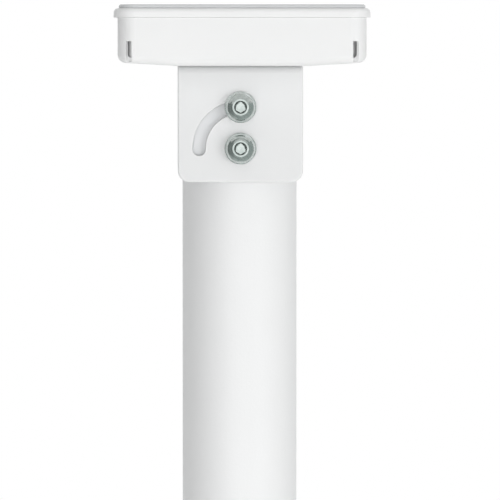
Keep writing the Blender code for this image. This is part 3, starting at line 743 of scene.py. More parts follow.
def rod(name, radius, start, end, axis="Z", place=(0.0, 0.0), sides=64):
    """A cylinder along Z or Y. place is its centre on the other two axes."""
    centre = (start + end) / 2
    if axis == "Z":
        matrix = Matrix.Translation((place[0], place[1], centre))
    else:
        matrix = Matrix.Translation((place[0], centre, place[1])) @ Matrix.Rotation(math.pi / 2, 4, "X")
    bm = bmesh.new()
    bmesh.ops.create_cone(
        bm, cap_ends=True, segments=sides, radius1=radius, radius2=radius, depth=end - start, matrix=matrix
    )
    return object_from(name, bm)


def prism(name, points, half_depth, across="Y", lift=0.0):
    """An outline with a depth: (x, z) points with the depth along Y, or (y, z) points along X."""
    bm = bmesh.new()
    ends = []
    for depth in (-half_depth, half_depth):
        if across == "Y":
            ends.append([bm.verts.new((x, depth, z + lift)) for x, z in points])
        else:
            ends.append([bm.verts.new((depth, y, z + lift)) for y, z in points])
    bm.faces.new(ends[0])
    bm.faces.new(reversed(ends[1]))
    for i in range(len(points)):
        after = (i + 1) % len(points)
        bm.faces.new((ends[0][after], ends[0][i], ends[1][i], ends[1][after]))
    return object_from(name, bm)


# %% [markdown]
# ## The tube
#
# The post is a steel tube of 60 mm with a 2 mm wall. Its upper end is cut to an arch, so that the web of
# the bracket can swing over it. A spun ring that is cut by an arched block makes the same end as a
# fly cutter does, and 160 sides keep the outline round at any distance.

# %% Tube
TUBE_WALL = 2 * MM
CLAMP_HOLE_RADIUS = 3.3 * MM
CAP_THICKNESS = 2.2 * MM
TUBE_SIDES = 160
ARCH_STEPS = 96
SHARP_RING = math.radians(30)
arch_radius = CAP_RADIUS - CAP_THICKNESS - GAP


def arch(name, radius, bottom):
    """The space under a half circle about the tilt axis."""
    points = [(-radius, bottom - AXIS_HEIGHT), (radius, bottom - AXIS_HEIGHT)]
    points += arc((0.0, 0.0), radius, 0, 180, ARCH_STEPS)
    return prism(name, points, 2 * TUBE_RADIUS, lift=AXIS_HEIGHT)


tube_foot = low("post_tube").z
tube = turned(
    "tube",
    [
        (TUBE_RADIUS, AXIS_HEIGHT + CAP_RADIUS),
        (TUBE_RADIUS, tube_foot),
        (TUBE_RADIUS - TUBE_WALL, tube_foot),
        (TUBE_RADIUS - TUBE_WALL, AXIS_HEIGHT + CAP_RADIUS),
    ],
    TUBE_SIDES,
)
combine(tube, arch("tube_arch", arch_radius, 0.0), operation="INTERSECT")
bores = []
for height in (AXIS_HEIGHT, AXIS_HEIGHT + LOCK_RADIUS):
    bores.append(rod("tube_bore", CLAMP_HOLE_RADIUS, -2 * TUBE_RADIUS, 2 * TUBE_RADIUS, "Y", (0.0, height)))
combine(tube, *bores)
settle(tube)
tube.data.set_sharp_from_angle(angle=SHARP_RING)
dress(tube, POWDER_COAT, "white_powder_coat", "post", "post_tube")

# %% [markdown]
# ## The cap
#
# A moulded cap closes the tube. It has the same arch, a wall of 2.2 mm, and a hole for the cables. It
# shows when the head is tilted away, so it gets a rounded rim rather than the sharp edge of the cut.

# %% Cap
CAP_HOLE_RADIUS = 8 * MM
CAP_SKIRT = 7 * MM
CAP_ROUND = 0.7 * MM
ARCH_FOOT = 0.5  # metres up, well below the cap
cap_side_foot = AXIS_HEIGHT + math.sqrt(arch_radius**2 - (TUBE_RADIUS - TUBE_WALL) ** 2)
cap = rod("cap", TUBE_RADIUS, cap_side_foot - CAP_SKIRT, CAP_TOP + GAP, sides=128)
combine(cap, arch("cap_outside", CAP_RADIUS, ARCH_FOOT), operation="INTERSECT")
combine(cap, arch("cap_inside", CAP_RADIUS - CAP_THICKNESS, ARCH_FOOT))
combine(cap, rod("cap_hole", CAP_HOLE_RADIUS, AXIS_HEIGHT, CAP_TOP + 2 * GAP))
settle(cap)
soften(cap, CAP_ROUND, 3, 40)
dress(cap, WHITE_PLASTIC, "white_plastic", "post", "post_cap")

# %% [markdown]
# ## Base plate and collar
#
# The plate is a steel disc with a rounded rim and four countersunk anchor holes. Three stepped holes
# from below take the screws of the foot. The collar is a moulded ring that hides the joint between tube
# and plate, with the soft trumpet profile of such trim. Both are spun from a profile whose round
# stretches are arcs.

# %% Base plate
PLATE_EDGE = 3 * MM
ANCHOR_CIRCLE_RADIUS = 125 * MM
ANCHOR_HOLE_RADIUS = 4.5 * MM
ANCHOR_SINK_RADIUS = 8.5 * MM
ANCHOR_LIP = 0.1 * MM
FOOT_HEAD_SINK = 4.3 * MM  # the heads of the foot's screws are sunk in the underside by this much
FOOT_HEAD_PLAY = 0.5 * MM
PLATE_HOLE_RADIUS = 13 * MM
PLATE_BREAK, PLATE_HOLE_BREAK = 0.4 * MM, 0.6 * MM
HOLE_SIDES = 48
plate_radius, plate_top = high("base_plate").x, high("base_plate").z
profile = arc((plate_radius - PLATE_EDGE, plate_top - PLATE_EDGE), PLATE_EDGE, 90, 0, 8)
profile += [(plate_radius, PLATE_BREAK), (plate_radius - PLATE_BREAK, 0.0)]
profile += [(PLATE_HOLE_RADIUS + PLATE_BREAK, 0.0), (PLATE_HOLE_RADIUS, PLATE_BREAK)]
profile += [(PLATE_HOLE_RADIUS, plate_top - PLATE_HOLE_BREAK)]
profile += [(PLATE_HOLE_RADIUS + PLATE_HOLE_BREAK, plate_top)]
plate = turned("floor_plate", profile, 192)
holes = []
anchor_profile = [
    (0.0, plate_top + GAP),
    (ANCHOR_SINK_RADIUS + 2 * GAP, plate_top + GAP),
    (ANCHOR_SINK_RADIUS + GAP, plate_top - ANCHOR_LIP),
    (ANCHOR_HOLE_RADIUS, plate_top - (ANCHOR_SINK_RADIUS - ANCHOR_HOLE_RADIUS)),
    (ANCHOR_HOLE_RADIUS, -GAP),
    (0.0, -GAP),
]
for number in range(4):
    angle = math.radians(45 + 90 * number)
    place = (ANCHOR_CIRCLE_RADIUS * math.cos(angle), ANCHOR_CIRCLE_RADIUS * math.sin(angle), 0.0)
    holes.append(turned(f"anchor_{number}", anchor_profile, HOLE_SIDES, place))
for number in range(1, 4):
    node = f"foot_screw_{number}"
    wide = (high(node).x - low(node).x) / 2 + FOOT_HEAD_PLAY
    foot_profile = [(0.0, plate_top + GAP), (CLAMP_HOLE_RADIUS, plate_top + GAP)]
    foot_profile += [(CLAMP_HOLE_RADIUS, FOOT_HEAD_SINK), (wide, FOOT_HEAD_SINK), (wide, -GAP), (0.0, -GAP)]
    place = (middle(node).x, middle(node).y, 0.0)
    holes.append(turned(f"foot_hole_{number}", foot_profile, HOLE_SIDES, place))
combine(plate, *holes)
settle(plate)
plate.data.set_sharp_from_angle(angle=SHARP_RING)
dress(plate, POWDER_COAT, "white_powder_coat", "post", "base_plate")

# %% Collar
LIP_WIDTH, LIP_ROUND, LIP_HEIGHT = 1.9 * MM, 0.8 * MM, 1.5 * MM
FLARE_POWER, FLARE_STEPS = 2.2, 12
RIM_CORNER, RIM_HEIGHT = 1.2 * MM, 1.6 * MM
FLARE_SHORT, FALL_SHORT, INNER_STEP = 0.5 * MM, 4 * MM, 0.5 * MM
collar_low, collar_high = low("base_collar").z, high("base_collar").z
collar_outer = high("base_collar").x
collar_inner = TUBE_RADIUS + GAP
collar_lip = collar_inner + LIP_WIDTH
profile = arc((collar_lip - LIP_ROUND, collar_high - LIP_ROUND), LIP_ROUND, 90, 10, 4)
flare = collar_outer - collar_lip - FLARE_SHORT
fall = collar_high - collar_low - FALL_SHORT
for step in range(1, FLARE_STEPS):
    share = step / FLARE_STEPS
    height = collar_high - (LIP_HEIGHT + fall * math.sqrt(share))
    profile.append((collar_lip + flare * share**FLARE_POWER, height))
profile += arc((collar_outer - RIM_CORNER, collar_low + RIM_HEIGHT), RIM_CORNER, 60, 0, 4)
profile += [(collar_outer, collar_low), (collar_inner, collar_low), (collar_inner, collar_high - INNER_STEP)]
collar = turned("collar", profile, 144)
dress(collar, WHITE_PLASTIC, "white_plastic", "post", "base_collar")

# %% [markdown]
# ## The tilt bracket
#
# The bracket is one folded sheet, 2.5 mm thick: two cheeks and the web over them. Its edges are broken
# wide before coating. The wide round catches the light, and a painted highlight in its finish makes it
# paler still, which gives the pale rim round each cheek. It starts as the folded profile with a depth.
# The outline of the cheeks, the slot and the holes are then cut through it. The edges are rounded in two
# steps: a wide round along the outside of the sheet, and a fine one on the slot and holes.

# %% Bracket: fold and cut
BEND_RADIUS = 1.5 * MM
SLOT_HALF = 3.4 * MM
CHEEK_CORNER = 6 * MM
HEAD_CABLE_RADIUS = 10 * MM
CLAMP_SHANK_RADIUS = 3 * MM
BRACKET_HOLE_RADIUS = 2.3 * MM
SMALL_SIDES = 32
OVERCUT = 2 * MM
bracket_foot = low("tilt_bracket").z - AXIS_HEIGHT
web_high = high("tilt_bracket").z - AXIS_HEIGHT
web_low = web_high - SHEET
half_width = high("tilt_bracket").x
inner, outer = BEND_RADIUS, BEND_RADIUS + SHEET

fold = [(-CHEEK_OUTER, bracket_foot)]
fold += arc((outer - CHEEK_OUTER, web_high - outer), outer, 180, 90, 10)
fold += arc((CHEEK_OUTER - outer, web_high - outer), outer, 90, 0, 10)
fold += [(CHEEK_OUTER, bracket_foot), (CHEEK_INNER, bracket_foot)]
fold += arc((CHEEK_INNER - inner, web_low - inner), inner, 0, 90, 6)
fold += arc((inner - CHEEK_INNER, web_low - inner), inner, 90, 180, 6)
fold += [(-CHEEK_INNER, bracket_foot)]
bracket = prism("bracket", fold, half_width + OVERCUT, "X", lift=AXIS_HEIGHT)

corner_x, corner_z = half_width - CHEEK_CORNER, bracket_foot + CHEEK_CORNER
cheek = [(half_width, web_high + OVERCUT), (-half_width, web_high + OVERCUT)]
cheek += arc((-corner_x, corner_z), CHEEK_CORNER, 180, 270, 14)
cheek += arc((corner_x, corner_z), CHEEK_CORNER, 270, 360, 14)
combine(bracket, prism("cheek_outline", cheek, 2 * CHEEK_OUTER, lift=AXIS_HEIGHT), operation="INTERSECT")

margin = math.degrees((SLOT_HALF - CLAMP_SHANK_RADIUS) / LOCK_RADIUS)
first, last = 90.0 - margin, 180.0 + margin
ends = []
for angle in (first, last):
    turn = math.radians(angle)
    ends.append((LOCK_RADIUS * math.cos(turn), LOCK_RADIUS * math.sin(turn)))
slot = arc((0, 0), LOCK_RADIUS + SLOT_HALF, first, last, 40)
slot += arc(ends[1], SLOT_HALF, last, last + 180, 14)[1:-1]
slot += arc((0, 0), LOCK_RADIUS - SLOT_HALF, last, first, 36)
slot += arc(ends[0], SLOT_HALF, first + 180, first + 360, 14)[1:-1]
bush_radius = high("pivot_bush_front").x + GAP
web_z = AXIS_HEIGHT + web_high
cuts = [
    prism("slot", slot, 2 * CHEEK_OUTER, lift=AXIS_HEIGHT),
    rod("bush_hole", bush_radius, -2 * CHEEK_OUTER, 2 * CHEEK_OUTER, "Y", (0.0, AXIS_HEIGHT)),
    rod("web_cable_hole", HEAD_CABLE_RADIUS, web_z - 2 * SHEET, web_z + SHEET),
]
for number in range(1, 5):
    centre = middle(f"bracket_screw_{number}")
    span = (web_z - 2 * SHEET, web_z + SHEET)
    cuts.append(rod(f"web_hole_{number}", BRACKET_HOLE_RADIUS, *span, "Z", centre[:2], SMALL_SIDES))
combine(bracket, *cuts)
settle(bracket)
print("bracket cut:", len(bracket.data.polygons), "faces")

# %% Bracket: round the edges
RIM_ROUND = 1.15 * MM
HOLE_ROUND = 0.45 * MM
SHARP_EDGE = math.radians(40)
NEAR = 0.05 * MM


def mark_edges(obj, wide, narrow):
    """Sets each sharp edge's bevel weight: wide on the outline of the sheet, narrow on holes and slot."""
    bm = bmesh.new()
    bm.from_mesh(obj.data)
    layers = bm.edges.layers.float
    weights = layers.get("bevel_weight_edge") or layers.new("bevel_weight_edge")
    for edge in bm.edges:
        if len(edge.link_faces) != 2 or edge.calc_face_angle() < SHARP_EDGE:
            continue
        point = (edge.verts[0].co + edge.verts[1].co) / 2
        x, z = abs(point.x), point.z - AXIS_HEIGHT
        in_corner = x > corner_x and z < corner_z
        on_outline = x > half_width - NEAR or z < bracket_foot + NEAR or in_corner
        edge[weights] = wide if on_outline else narrow
    bm.to_mesh(obj.data)
    bm.free()


mark_edges(bracket, 1.0, HOLE_ROUND / RIM_ROUND)
rounding = bracket.modifiers.new("rounding", "BEVEL")
rounding.width = RIM_ROUND
rounding.segments = 4
rounding.limit_method = "WEIGHT"
rounding.use_clamp_overlap = True
bracket.data.shade_smooth()
bracket.modifiers.new("even_normals", "WEIGHTED_NORMAL").keep_sharp = True
settle(bracket)
# The bracket takes the darker copy of the powder coat, which paints the shade under the head
dress(bracket, SHADED_BRACKET_COAT, "white_powder_coat", "head", "tilt_bracket")

# %% [markdown]
# ## The head: tray and cover
#
# The tray is an open moulded box: walls of 2.5 mm, upright corners of 9 mm and an underside that is flat
# over the bracket and then climbs to both ends. It starts as a cube that is cut in three along its
# length, the outer thirds are lifted, and the corners and the lower rim are rounded. The same function
# makes the hollow, a wall's thickness smaller, and the cover and the glass.

# %% A rounded block
def rim_edges(bm, up):
    """The edges between the sides and the top (up = 1) or the underside (up = -1)."""
    bm.normal_update()
    found = []
    for edge in bm.edges:
        facing = [abs(face.normal.z) for face in edge.link_faces]
        ends = [face for face in edge.link_faces if face.normal.z * up > 0.9]
        if len(ends) == 1 and min(facing) < 0.3:
            found.append(edge)
    return found


def round_edges(bm, edges, radius, segments):
    """Rounds the given edges, with as many segments as their radius needs."""
    bmesh.ops.bevel(bm, geom=edges, offset=radius, segments=segments, profile=0.5, affect="EDGES")


def rounded_block(
    name, size, start, corner=0.0, low_edge=0.0, high_edge=0.0, flat=0.0, lift=0.0, place=(0, 0)
):
    """A block on height start. With a lift its underside climbs from flat, either side of the middle."""
    centre = Vector((place[0], place[1], start + size[2] / 2))
    bm = bmesh.new()
    bmesh.ops.create_cube(bm, size=1.0, matrix=Matrix.Translation(centre) @ Matrix.Diagonal((*size, 1.0)))
    if lift:
        for x in (-flat, flat):
            everything = bm.verts[:] + bm.edges[:] + bm.faces[:]
            bmesh.ops.bisect_plane(bm, geom=everything, plane_co=(x, 0, 0), plane_no=(1, 0, 0))
        for vert in bm.verts:
            if vert.co.z < centre.z and abs(vert.co.x) > flat + GAP:
                vert.co.z += lift
    upright = []
    for edge in bm.edges:
        first, second = (vert.co for vert in edge.verts)
        if (first - second).xy.length < GAP and abs(first.x - centre.x) > size[0] / 2 - GAP:
            upright.append(edge)
    if corner:
        round_edges(bm, upright, corner, 14)
    if low_edge:
        round_edges(bm, rim_edges(bm, -1), low_edge, 8)
    if high_edge:
        round_edges(bm, rim_edges(bm, 1), high_edge, 6)
    return object_from(name, bm)


# %% Tray
TRAY_WALL = 2.5 * MM
TRAY_CORNER = 9 * MM
TRAY_EDGE = 4 * MM
TRAY_RISE = 1.8 * MM
MOULD_ROUND = 0.2 * MM
tray_low, tray_high = low("head_tray"), high("head_tray")
tray_size = tray_high - tray_low
tray = rounded_block(
    "tray", tray_size, tray_low.z, TRAY_CORNER, low_edge=TRAY_EDGE, flat=half_width, lift=TRAY_RISE
)
hollow_size = (tray_size.x - 2 * TRAY_WALL, tray_size.y - 2 * TRAY_WALL, tray_size.z)
hollow = rounded_block(
    "tray_hollow", hollow_size, tray_low.z + TRAY_WALL, TRAY_CORNER - TRAY_WALL,
    low_edge=TRAY_EDGE - TRAY_WALL, flat=half_width, lift=TRAY_RISE,
)
combine(tray, hollow)
tray_floor = tray_low.z + TRAY_WALL
print("tray hollowed")

# %% [markdown]
# Inside the tray stand bosses for the screws: four near the middle for the bracket, four for the board
# and one in each corner for the cover. The cover screws come from below, so their bosses start with a
# wide recess in the underside, which shows when the head is tilted. Each boss is joined to the tray
# first, and its hole is cut after that.

# %% Tray: bosses, screw holes and notches
NOTCH_WIDTH, NOTCH_HEIGHT = 2.8 * MM, 10.6 * MM
NOTCH_FROM_END, NOTCH_ABOVE_BACK = 5.7 * MM, 2 * MM
SMALL_HOLE_RADIUS = 1.8 * MM
BOSS_ROOT = 0.6 * MM  # how deep a boss stands in the tray's floor
SUNK_HEAD = 2.2 * MM
board_low = low("controller_board").z
BOSSES = (  # screw, boss radius, hole radius, top of the boss
    ("bracket_screw", 4.3 * MM, BRACKET_HOLE_RADIUS, board_low - 2 * MM),
    ("board_screw", 3.8 * MM, SMALL_HOLE_RADIUS, board_low - GAP),
    ("cover_screw", 4.3 * MM, SMALL_HOLE_RADIUS, tray_high.z - 1.5 * MM),
)
bosses = []
holes = [rod("tray_cable_hole", HEAD_CABLE_RADIUS, tray_low.z - GAP, tray_floor + GAP)]
for kind, boss_radius, hole_radius, top in BOSSES:
    for number in range(1, 5):
        screw_low, screw_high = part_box(f"{kind}_{number}")
        centre = (screw_low + screw_high) / 2
        name = f"{kind}_boss_{number}"
        foot = tray_floor - BOSS_ROOT + (0.0 if kind == "bracket_screw" else TRAY_RISE)
        bosses.append(rod(name, boss_radius, foot, top, "Z", centre[:2], 40))
        start = tray_floor + TRAY_RISE if kind == "board_screw" else tray_low.z - GAP
        profile = [(0.0, top + GAP), (hole_radius, top + GAP)]
        if kind == "cover_screw":  # the recess for the head
            seat, wide = screw_low.z + SUNK_HEAD + GAP, screw_high.x - centre.x + GAP
            profile += [(hole_radius, seat), (wide, seat), (wide, start)]
        else:
            profile += [(hole_radius, start)]
        place = (centre.x, centre.y, 0.0)
        holes.append(turned(f"{name}_hole", profile + [(0.0, start)], SMALL_SIDES, place))
for x in (-1, 1):
    for y in (-1, 1):
        size = (NOTCH_WIDTH, 2 * TRAY_WALL, NOTCH_HEIGHT)
        place = (x * (tray_high.x - NOTCH_FROM_END), y * (tray_high.y - TRAY_WALL / 2))
        holes.append(rounded_block(f"notch_{x}_{y}", size, tray_low.z + NOTCH_ABOVE_BACK, place=place))
combine(tray, *bosses, operation="UNION")
combine(tray, *holes)
settle(tray)
soften(tray, MOULD_ROUND, 2, 45)
dress(tray, HEAD_PLASTIC, "white_head_plastic", "head", "head_tray")

# %% [markdown]
# The cover is a frame that stands 2 mm proud of the tray all round. Its upper edge is a soft quarter
# round, so the glass looks thinner than it is. The window in it holds the display.

# %% Cover
COVER_OVERHANG = 2 * MM
COVER_RIM_X, COVER_RIM_Y = 15 * MM, 22.5 * MM
COVER_EDGE, COVER_LOW_EDGE = 2.4 * MM, 0.25 * MM
WINDOW_CORNER = 3 * MM
COVER_SCREW_PLAY = 0.5 * MM
SEAM = 0.22 * MM  # the cover and the glass go down by this, so that they almost touch what they lie on
cover_low, cover_high = low("head_cover"), high("head_cover")
cover_size = cover_high - cover_low
cover_corner = TRAY_CORNER + COVER_OVERHANG
cover_size.z += SEAM
cover = rounded_block(
    "cover", cover_size, cover_low.z - SEAM, cover_corner, low_edge=COVER_LOW_EDGE, high_edge=COVER_EDGE
)
window_size = (cover_size.x - 2 * COVER_RIM_X, cover_size.y - 2 * COVER_RIM_Y, 4 * cover_size.z)
cuts = [rounded_block("window", window_size, cover_low.z - cover_size.z, WINDOW_CORNER)]
for number in range(1, 5):
    centre = middle(f"cover_screw_{number}")
    span = (cover_low.z - GAP, high(f"cover_screw_{number}").z + COVER_SCREW_PLAY)
    cuts.append(rod(f"cover_hole_{number}", SMALL_HOLE_RADIUS, *span, "Z", centre[:2], SMALL_SIDES))
combine(cover, *cuts)
settle(cover)
soften(cover, MOULD_ROUND, 2, 45)
dress(cover, HEAD_PLASTIC, "white_head_plastic", "head", "head_cover")

# %% [markdown]
# ## The glass panel
#
# The panel is glass of 1.6 mm, printed on its back: a light grey border round a dark screen. Seen from
# any side, back-printed glass reads as a polished sheet in the colour of the print, so the panel is one
# solid with a polished surface, and the print is a mask in its material. The mask is the distance to a
# rounded rectangle, which gives the screen round corners with no picture file. Faint smears roughen the
# surface.

# %% Printed glass
SCREEN_MARGIN = 17 * MM
SCREEN_CORNER = 3 * MM
PRINT_BLUR = 0.1 * MM
GLASS_EDGE, GLASS_LOW_EDGE = 1.1 * MM, 0.12 * MM
SCREEN_DARK, SCREEN_OTHER = (0.012, 0.013, 0.016), (0.018, 0.019, 0.023)
PRINT_GREY, PRINT_OTHER = (0.60, 0.61, 0.62), (0.64, 0.65, 0.66)


def make_printed_glass(half_x, half_y):
    """A light border round a dark screen, half_x and half_y from the middle to the screen's sides."""
    material, tree, shader = start_finish("panel_glass", IOR=1.5, Specular_IOR_Level=0.5)
    place = tree.nodes.new("ShaderNodeTexCoord").outputs["Object"]
    parts = tree.nodes.new("ShaderNodeSeparateXYZ")
    tree.links.new(place, parts.inputs["Vector"])
    squares = []
    for axis, half in (("X", half_x), ("Y", half_y)):
        distance = math_node(tree, "ABSOLUTE", parts.outputs[axis])
        reach = math_node(tree, "SUBTRACT", distance, half - SCREEN_CORNER)
        over = math_node(tree, "MAXIMUM", reach, 0.0)
        squares.append(math_node(tree, "MULTIPLY", over, over))
    distance = math_node(tree, "SQRT", math_node(tree, "ADD", *squares))
    border = blend_range(tree, distance, SCREEN_CORNER - PRINT_BLUR, SCREEN_CORNER + PRINT_BLUR)
    skin = place_group(tree, SKIN, Wave_Scale=900.0, Grit_Scale=4200.0)
    screen = mix_colour(tree, skin.outputs["Blotch"], SCREEN_DARK, SCREEN_OTHER)
    printed = mix_colour(tree, skin.outputs["Blotch"], PRINT_GREY, PRINT_OTHER)
    tree.links.new(mix_colour(tree, border, screen, printed), shader.inputs["Base Color"])
    smears = blend_range(tree, noise_node(tree, place, 38.0, 5.0, 0.6), 0.45, 0.8)
    set_roughness(tree, shader, smears, 0.05, 0.14)
    return material


glass_low, glass_high = low("display_glass"), high("display_glass")
glass_size = glass_high - glass_low
glass_corner = cover_corner - (cover_size.x - glass_size.x) / 2
glass_size.z += SEAM
glass = rounded_block(
    "glass_panel", glass_size, glass_low.z - SEAM, glass_corner, low_edge=GLASS_LOW_EDGE, high_edge=GLASS_EDGE
)
glass.data.shade_smooth()
glass.modifiers.new("even_normals", "WEIGHTED_NORMAL")
settle(glass)
PRINTED_GLASS = make_printed_glass(glass_size.x / 2 - SCREEN_MARGIN, glass_size.y / 2 - SCREEN_MARGIN)
dress(glass, PRINTED_GLASS, "panel_glass", "head", "display_glass")

# %% [markdown]
# ## Screws and washers
#
# All the screws are button heads with a hex socket, in five sizes. The profile has the parts of the real
# head: the flat face, a soft shoulder, the dome, a narrow rim and the flat seat. The socket is a six-sided
# hole with a small cone at its mouth and a drill point at its bottom. Each screw takes its length, its
# place and its direction from the part that it stands for.

# %% One screw
SCREW_KINDS = {  # shank, head height, rim height, flat, socket width and socket depth, in mm
    "clamp": (6.0, 4.6, 1.5, 9.4, 5.0, 2.8),
    "bracket": (4.0, 2.6, 0.8, 5.0, 2.5, 1.5),
    "board": (3.0, 2.2, 0.7, 4.0, 2.0, 1.2),
    "cover": (3.0, 2.2, 1.2, 4.4, 2.0, 1.3),
    "foot": (6.0, 4.2, 3.2, 9.0, 4.0, 2.4),
}


SHOULDER_SHARE = 0.12  # the soft shoulder's share of the flat
RIM_STEP, RIM_NICK = 0.1 * MM, 0.25 * MM
SOCKET_PLAY, MOUTH_DEPTH, SCREW_ROUND = 0.35 * MM, 0.55 * MM, 0.12 * MM


def screw_profile(length, head_radius, shank, height, rim, flat):
    """(radius, height) points from the middle of the face down to the tip; the face is at height 0."""
    soft = SHOULDER_SHARE * flat
    points = [(0.0, 0.0)] + arc((flat - soft, -soft * 0.6), soft, 90, 45, 4)
    for step in range(1, 13):  # a quarter ellipse from the face to the rim
        angle = math.pi / 2 * step / 12
        reach, drop = head_radius - RIM_STEP - flat, height - rim
        points.append((flat + reach * math.sin(angle), -drop * (1 - math.cos(angle)) - soft * 0.25))
    points += [(head_radius, -height + rim * 0.75), (head_radius, -height + RIM_NICK)]
    points += [(head_radius - RIM_NICK, -height), (shank + GAP, -height), (shank, -height - GAP)]
    return points + [(shank, -length + shank / 4), (shank * 0.75, -length), (0.0, -length)]


SCREW_MESHES = {}


def screw_mesh(kind, length, head_radius):
    """The mesh of one kind and length of screw, made once: its face is at 0 and its shank points down."""
    key = (kind, round(length, 5))
    if key in SCREW_MESHES:
        return SCREW_MESHES[key]
    shank, height, rim, flat, socket, socket_depth = (value * MM for value in SCREW_KINDS[kind])
    sides = 96 if kind == "clamp" else 48
    obj = turned("screw", screw_profile(length, head_radius, shank / 2, height, rim, flat / 2), sides)
    corner = socket / math.sqrt(3)
    combine(obj, rod("socket", corner, -socket_depth, MM, sides=6))
    mouth, deep, over = corner + SOCKET_PLAY, 0.45 * socket, 2 * RIM_STEP
    cone = [(0.0, over), (mouth + over, over), (corner * 0.84, -MOUTH_DEPTH), (0.0, -MOUTH_DEPTH)]
    combine(obj, turned("mouth", cone, sides))
    drill = [(0.0, RIM_STEP), (deep, RIM_STEP), (0.0, -deep * 0.35)]
    combine(obj, turned("drill", drill, 24, (0.0, 0.0, -socket_depth)))
    settle(obj)
    soften(obj, SCREW_ROUND, 2, 38)
    SCREW_MESHES[key] = obj.data
    bpy.data.objects.remove(obj)
    return SCREW_MESHES[key]


def make_screw(name, node, kind, axis, sign, body):
    """axis is 1 for a screw along Y and 2 for one along Z; sign says which way its head looks."""
    low_end, high_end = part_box(node)
    place = (low_end + high_end) / 2
    place[axis] = high_end[axis] if sign > 0 else low_end[axis]
    mesh = screw_mesh(kind, high_end[axis] - low_end[axis], (high_end.x - low_end.x) / 2)
    turn = {(1, 1): -90.0, (1, -1): 90.0, (2, 1): 0.0, (2, -1): 180.0}[(axis, sign)]
    return dress(new_object(name, mesh, place, turn), ZINC, "zinc_plated_steel", body, node)


# %% Every screw
for end, sign in (("front", -1), ("rear", 1)):
    for role in ("pivot", "lock"):
        make_screw(f"{role}_button_{end}", f"{role}_screw_{end}", "clamp", 1, sign, "post")
for number in range(1, 5):
    make_screw(f"bracket_button_{number}", f"bracket_screw_{number}", "bracket", 2, -1, "head")
    make_screw(f"board_button_{number}", f"board_screw_{number}", "board", 2, 1, "head")
    make_screw(f"cover_button_{number}", f"cover_screw_{number}", "cover", 2, -1, "head")
for number in range(1, 4):
    make_screw(f"foot_button_{number}", f"foot_screw_{number}", "foot", 2, -1, "post")

# %% [markdown]
# The washers are stamped rings with rounded outer edges. A profile with an arc at each outer corner
# shows a thin bright line round each screw.

# %% Washers
WASHER_ROUND = 0.5 * MM


def ring_profile(inside, outside, bottom, top, edge):
    """A ring's section with rounded outer corners, and its inner corners cut."""
    points = arc((outside - edge, top - edge), edge, 90, 0, 5)
    points += arc((outside - edge, bottom + edge), edge, 0, -90, 5)
    nick = edge / 2
    points += [(inside + nick, bottom), (inside, bottom + nick)]
    return points + [(inside, top - nick), (inside + nick, top)]


for end, turn in (("front", 90.0), ("rear", -90.0)):
    for role in ("pivot", "lock"):
        node = f"{role}_washer_{end}"
        low_end, high_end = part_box(node)
        radius, thickness = (high_end.x - low_end.x) / 2, high_end.y - low_end.y
        profile = ring_profile(CLAMP_HOLE_RADIUS, radius, -thickness / 2, thickness / 2, WASHER_ROUND)
        washer = turned(f"{role}_ring_{end}", profile, 96, middle(node), turn)
        dress(washer, ZINC, "zinc_plated_steel", "post", node)

# %% [markdown]
# ## Parts that keep their shape
#
# The blocks, saddles, bushes, grommets, gasket, board and display need no new shape, only finer edges.
# Their meshes arrive as loose triangles. A Weld modifier joins them, a planar Decimate turns the
# triangles of each flat face back into one face, and a small Bevel rounds what is left. All of this is
# done with modifiers, so the part's own mesh isn't touched.

# %% Keep, refine and finish
KEPT = {  # part: (finish, edge rounding in mm)
    "pivot_block": (ALUMINIUM, 0.4), "post_foot": (ALUMINIUM, 0.4),
    "saddle_front": (NYLON, 0.5), "saddle_rear": (NYLON, 0.5),
    "pivot_bush_front": (NYLON, 0.2), "pivot_bush_rear": (NYLON, 0.2),
    "plate_grommet": (RUBBER, 0.5), "cap_grommet": (RUBBER, 0.5), "head_grommet": (RUBBER, 0.3),
    "cover_gasket": (RUBBER, 0.2), "display_module": (MODULE, 0.4), "board_connector": (MODULE, 0.3),
    "controller_board": (BOARD, 0.1),
}


def refine(node, material, width):
    """Cleans and rounds a part with modifiers alone, and gives it its finish."""
    obj = NODES[node]
    weld = obj.modifiers.new("weld", "WELD")
    weld.merge_threshold = 2 * MERGE_GAP
    flatten = obj.modifiers.new("flatten", "DECIMATE")
    flatten.decimate_type = "DISSOLVE"
    flatten.angle_limit = math.radians(1.0)
    rounding = obj.modifiers.new("rounding", "BEVEL")
    rounding.width = width
    rounding.segments = 2
    rounding.angle_limit = SHARP_EDGE
    rounding.use_clamp_overlap = True
    for slot in obj.material_slots:
        slot.material = material


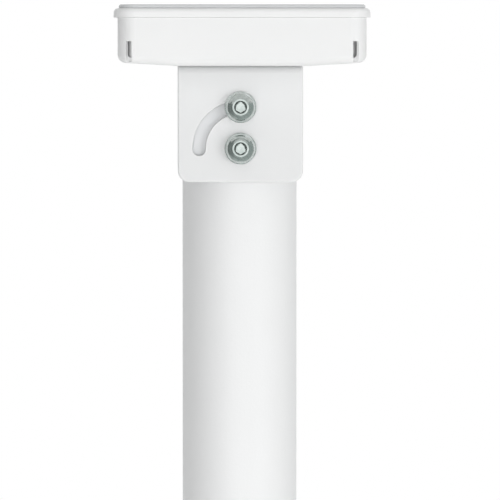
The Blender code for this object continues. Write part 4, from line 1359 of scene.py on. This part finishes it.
for node, (material, rounding) in KEPT.items():
    refine(node, material, rounding * MM)
print(len(KEPT), "parts keep their shape")

# %% [markdown]
# ## Floor
#
# The floor is a plain pale disc with a trace of grain. From the front the post runs out of the frame
# before the floor comes in, so the floor only shows in the other views. Away from the post it fades to
# the white of the room, for the camera only, so that neither its far edge nor the lamps draw a line
# across the picture. It isn't part of the object.

# %% Floor
FLOOR_RADIUS = 4.5
FADE_START, FADE_END = 0.3, 2.2  # metres from the post
FLOOR_DROP = 0.2 * MM
FLOOR_SHADE, FLOOR_OTHER = (0.84, 0.84, 0.835), (0.86, 0.86, 0.855)


def make_floor_finish():
    material, tree, shader = start_finish("pale_floor", Specular_IOR_Level=0.2)
    skin = place_group(tree, SKIN, Wave_Scale=60.0, Grit_Scale=700.0)
    colour = mix_colour(tree, skin.outputs["Blotch"], FLOOR_SHADE, FLOOR_OTHER)
    tree.links.new(colour, shader.inputs["Base Color"])
    set_roughness(tree, shader, skin.outputs["Blotch"], 0.7, 0.8)
    place = tree.nodes.new("ShaderNodeTexCoord")
    distance = tree.nodes.new("ShaderNodeVectorMath")
    distance.operation = "LENGTH"
    tree.links.new(place.outputs["Object"], distance.inputs[0])
    far = blend_range(tree, distance.outputs["Value"], FADE_START, FADE_END)
    ray = tree.nodes.new("ShaderNodeLightPath")
    share = math_node(tree, "MULTIPLY", far, ray.outputs["Is Camera Ray"])
    glow = tree.nodes.new("ShaderNodeEmission")
    glow.inputs["Color"].default_value = (*WHITE, 1.0)
    blend = mix_shaders(tree, share, shader.outputs["BSDF"], glow.outputs["Emission"])
    tree.links.new(blend, tree.nodes["Material Output"].inputs["Surface"])
    return material


bm = bmesh.new()
bmesh.ops.create_circle(bm, cap_ends=True, segments=128, radius=FLOOR_RADIUS)
mesh = bpy.data.meshes.new("floor")
bm.to_mesh(mesh)
bm.free()
floor = new_object("floor", mesh, (0.0, 0.0, -FLOOR_DROP))
floor.data.materials.append(make_floor_finish())
floor.visible_glossy = False  # polished metal mirrors the room alone
print("floor of", FLOOR_RADIUS, "m radius")
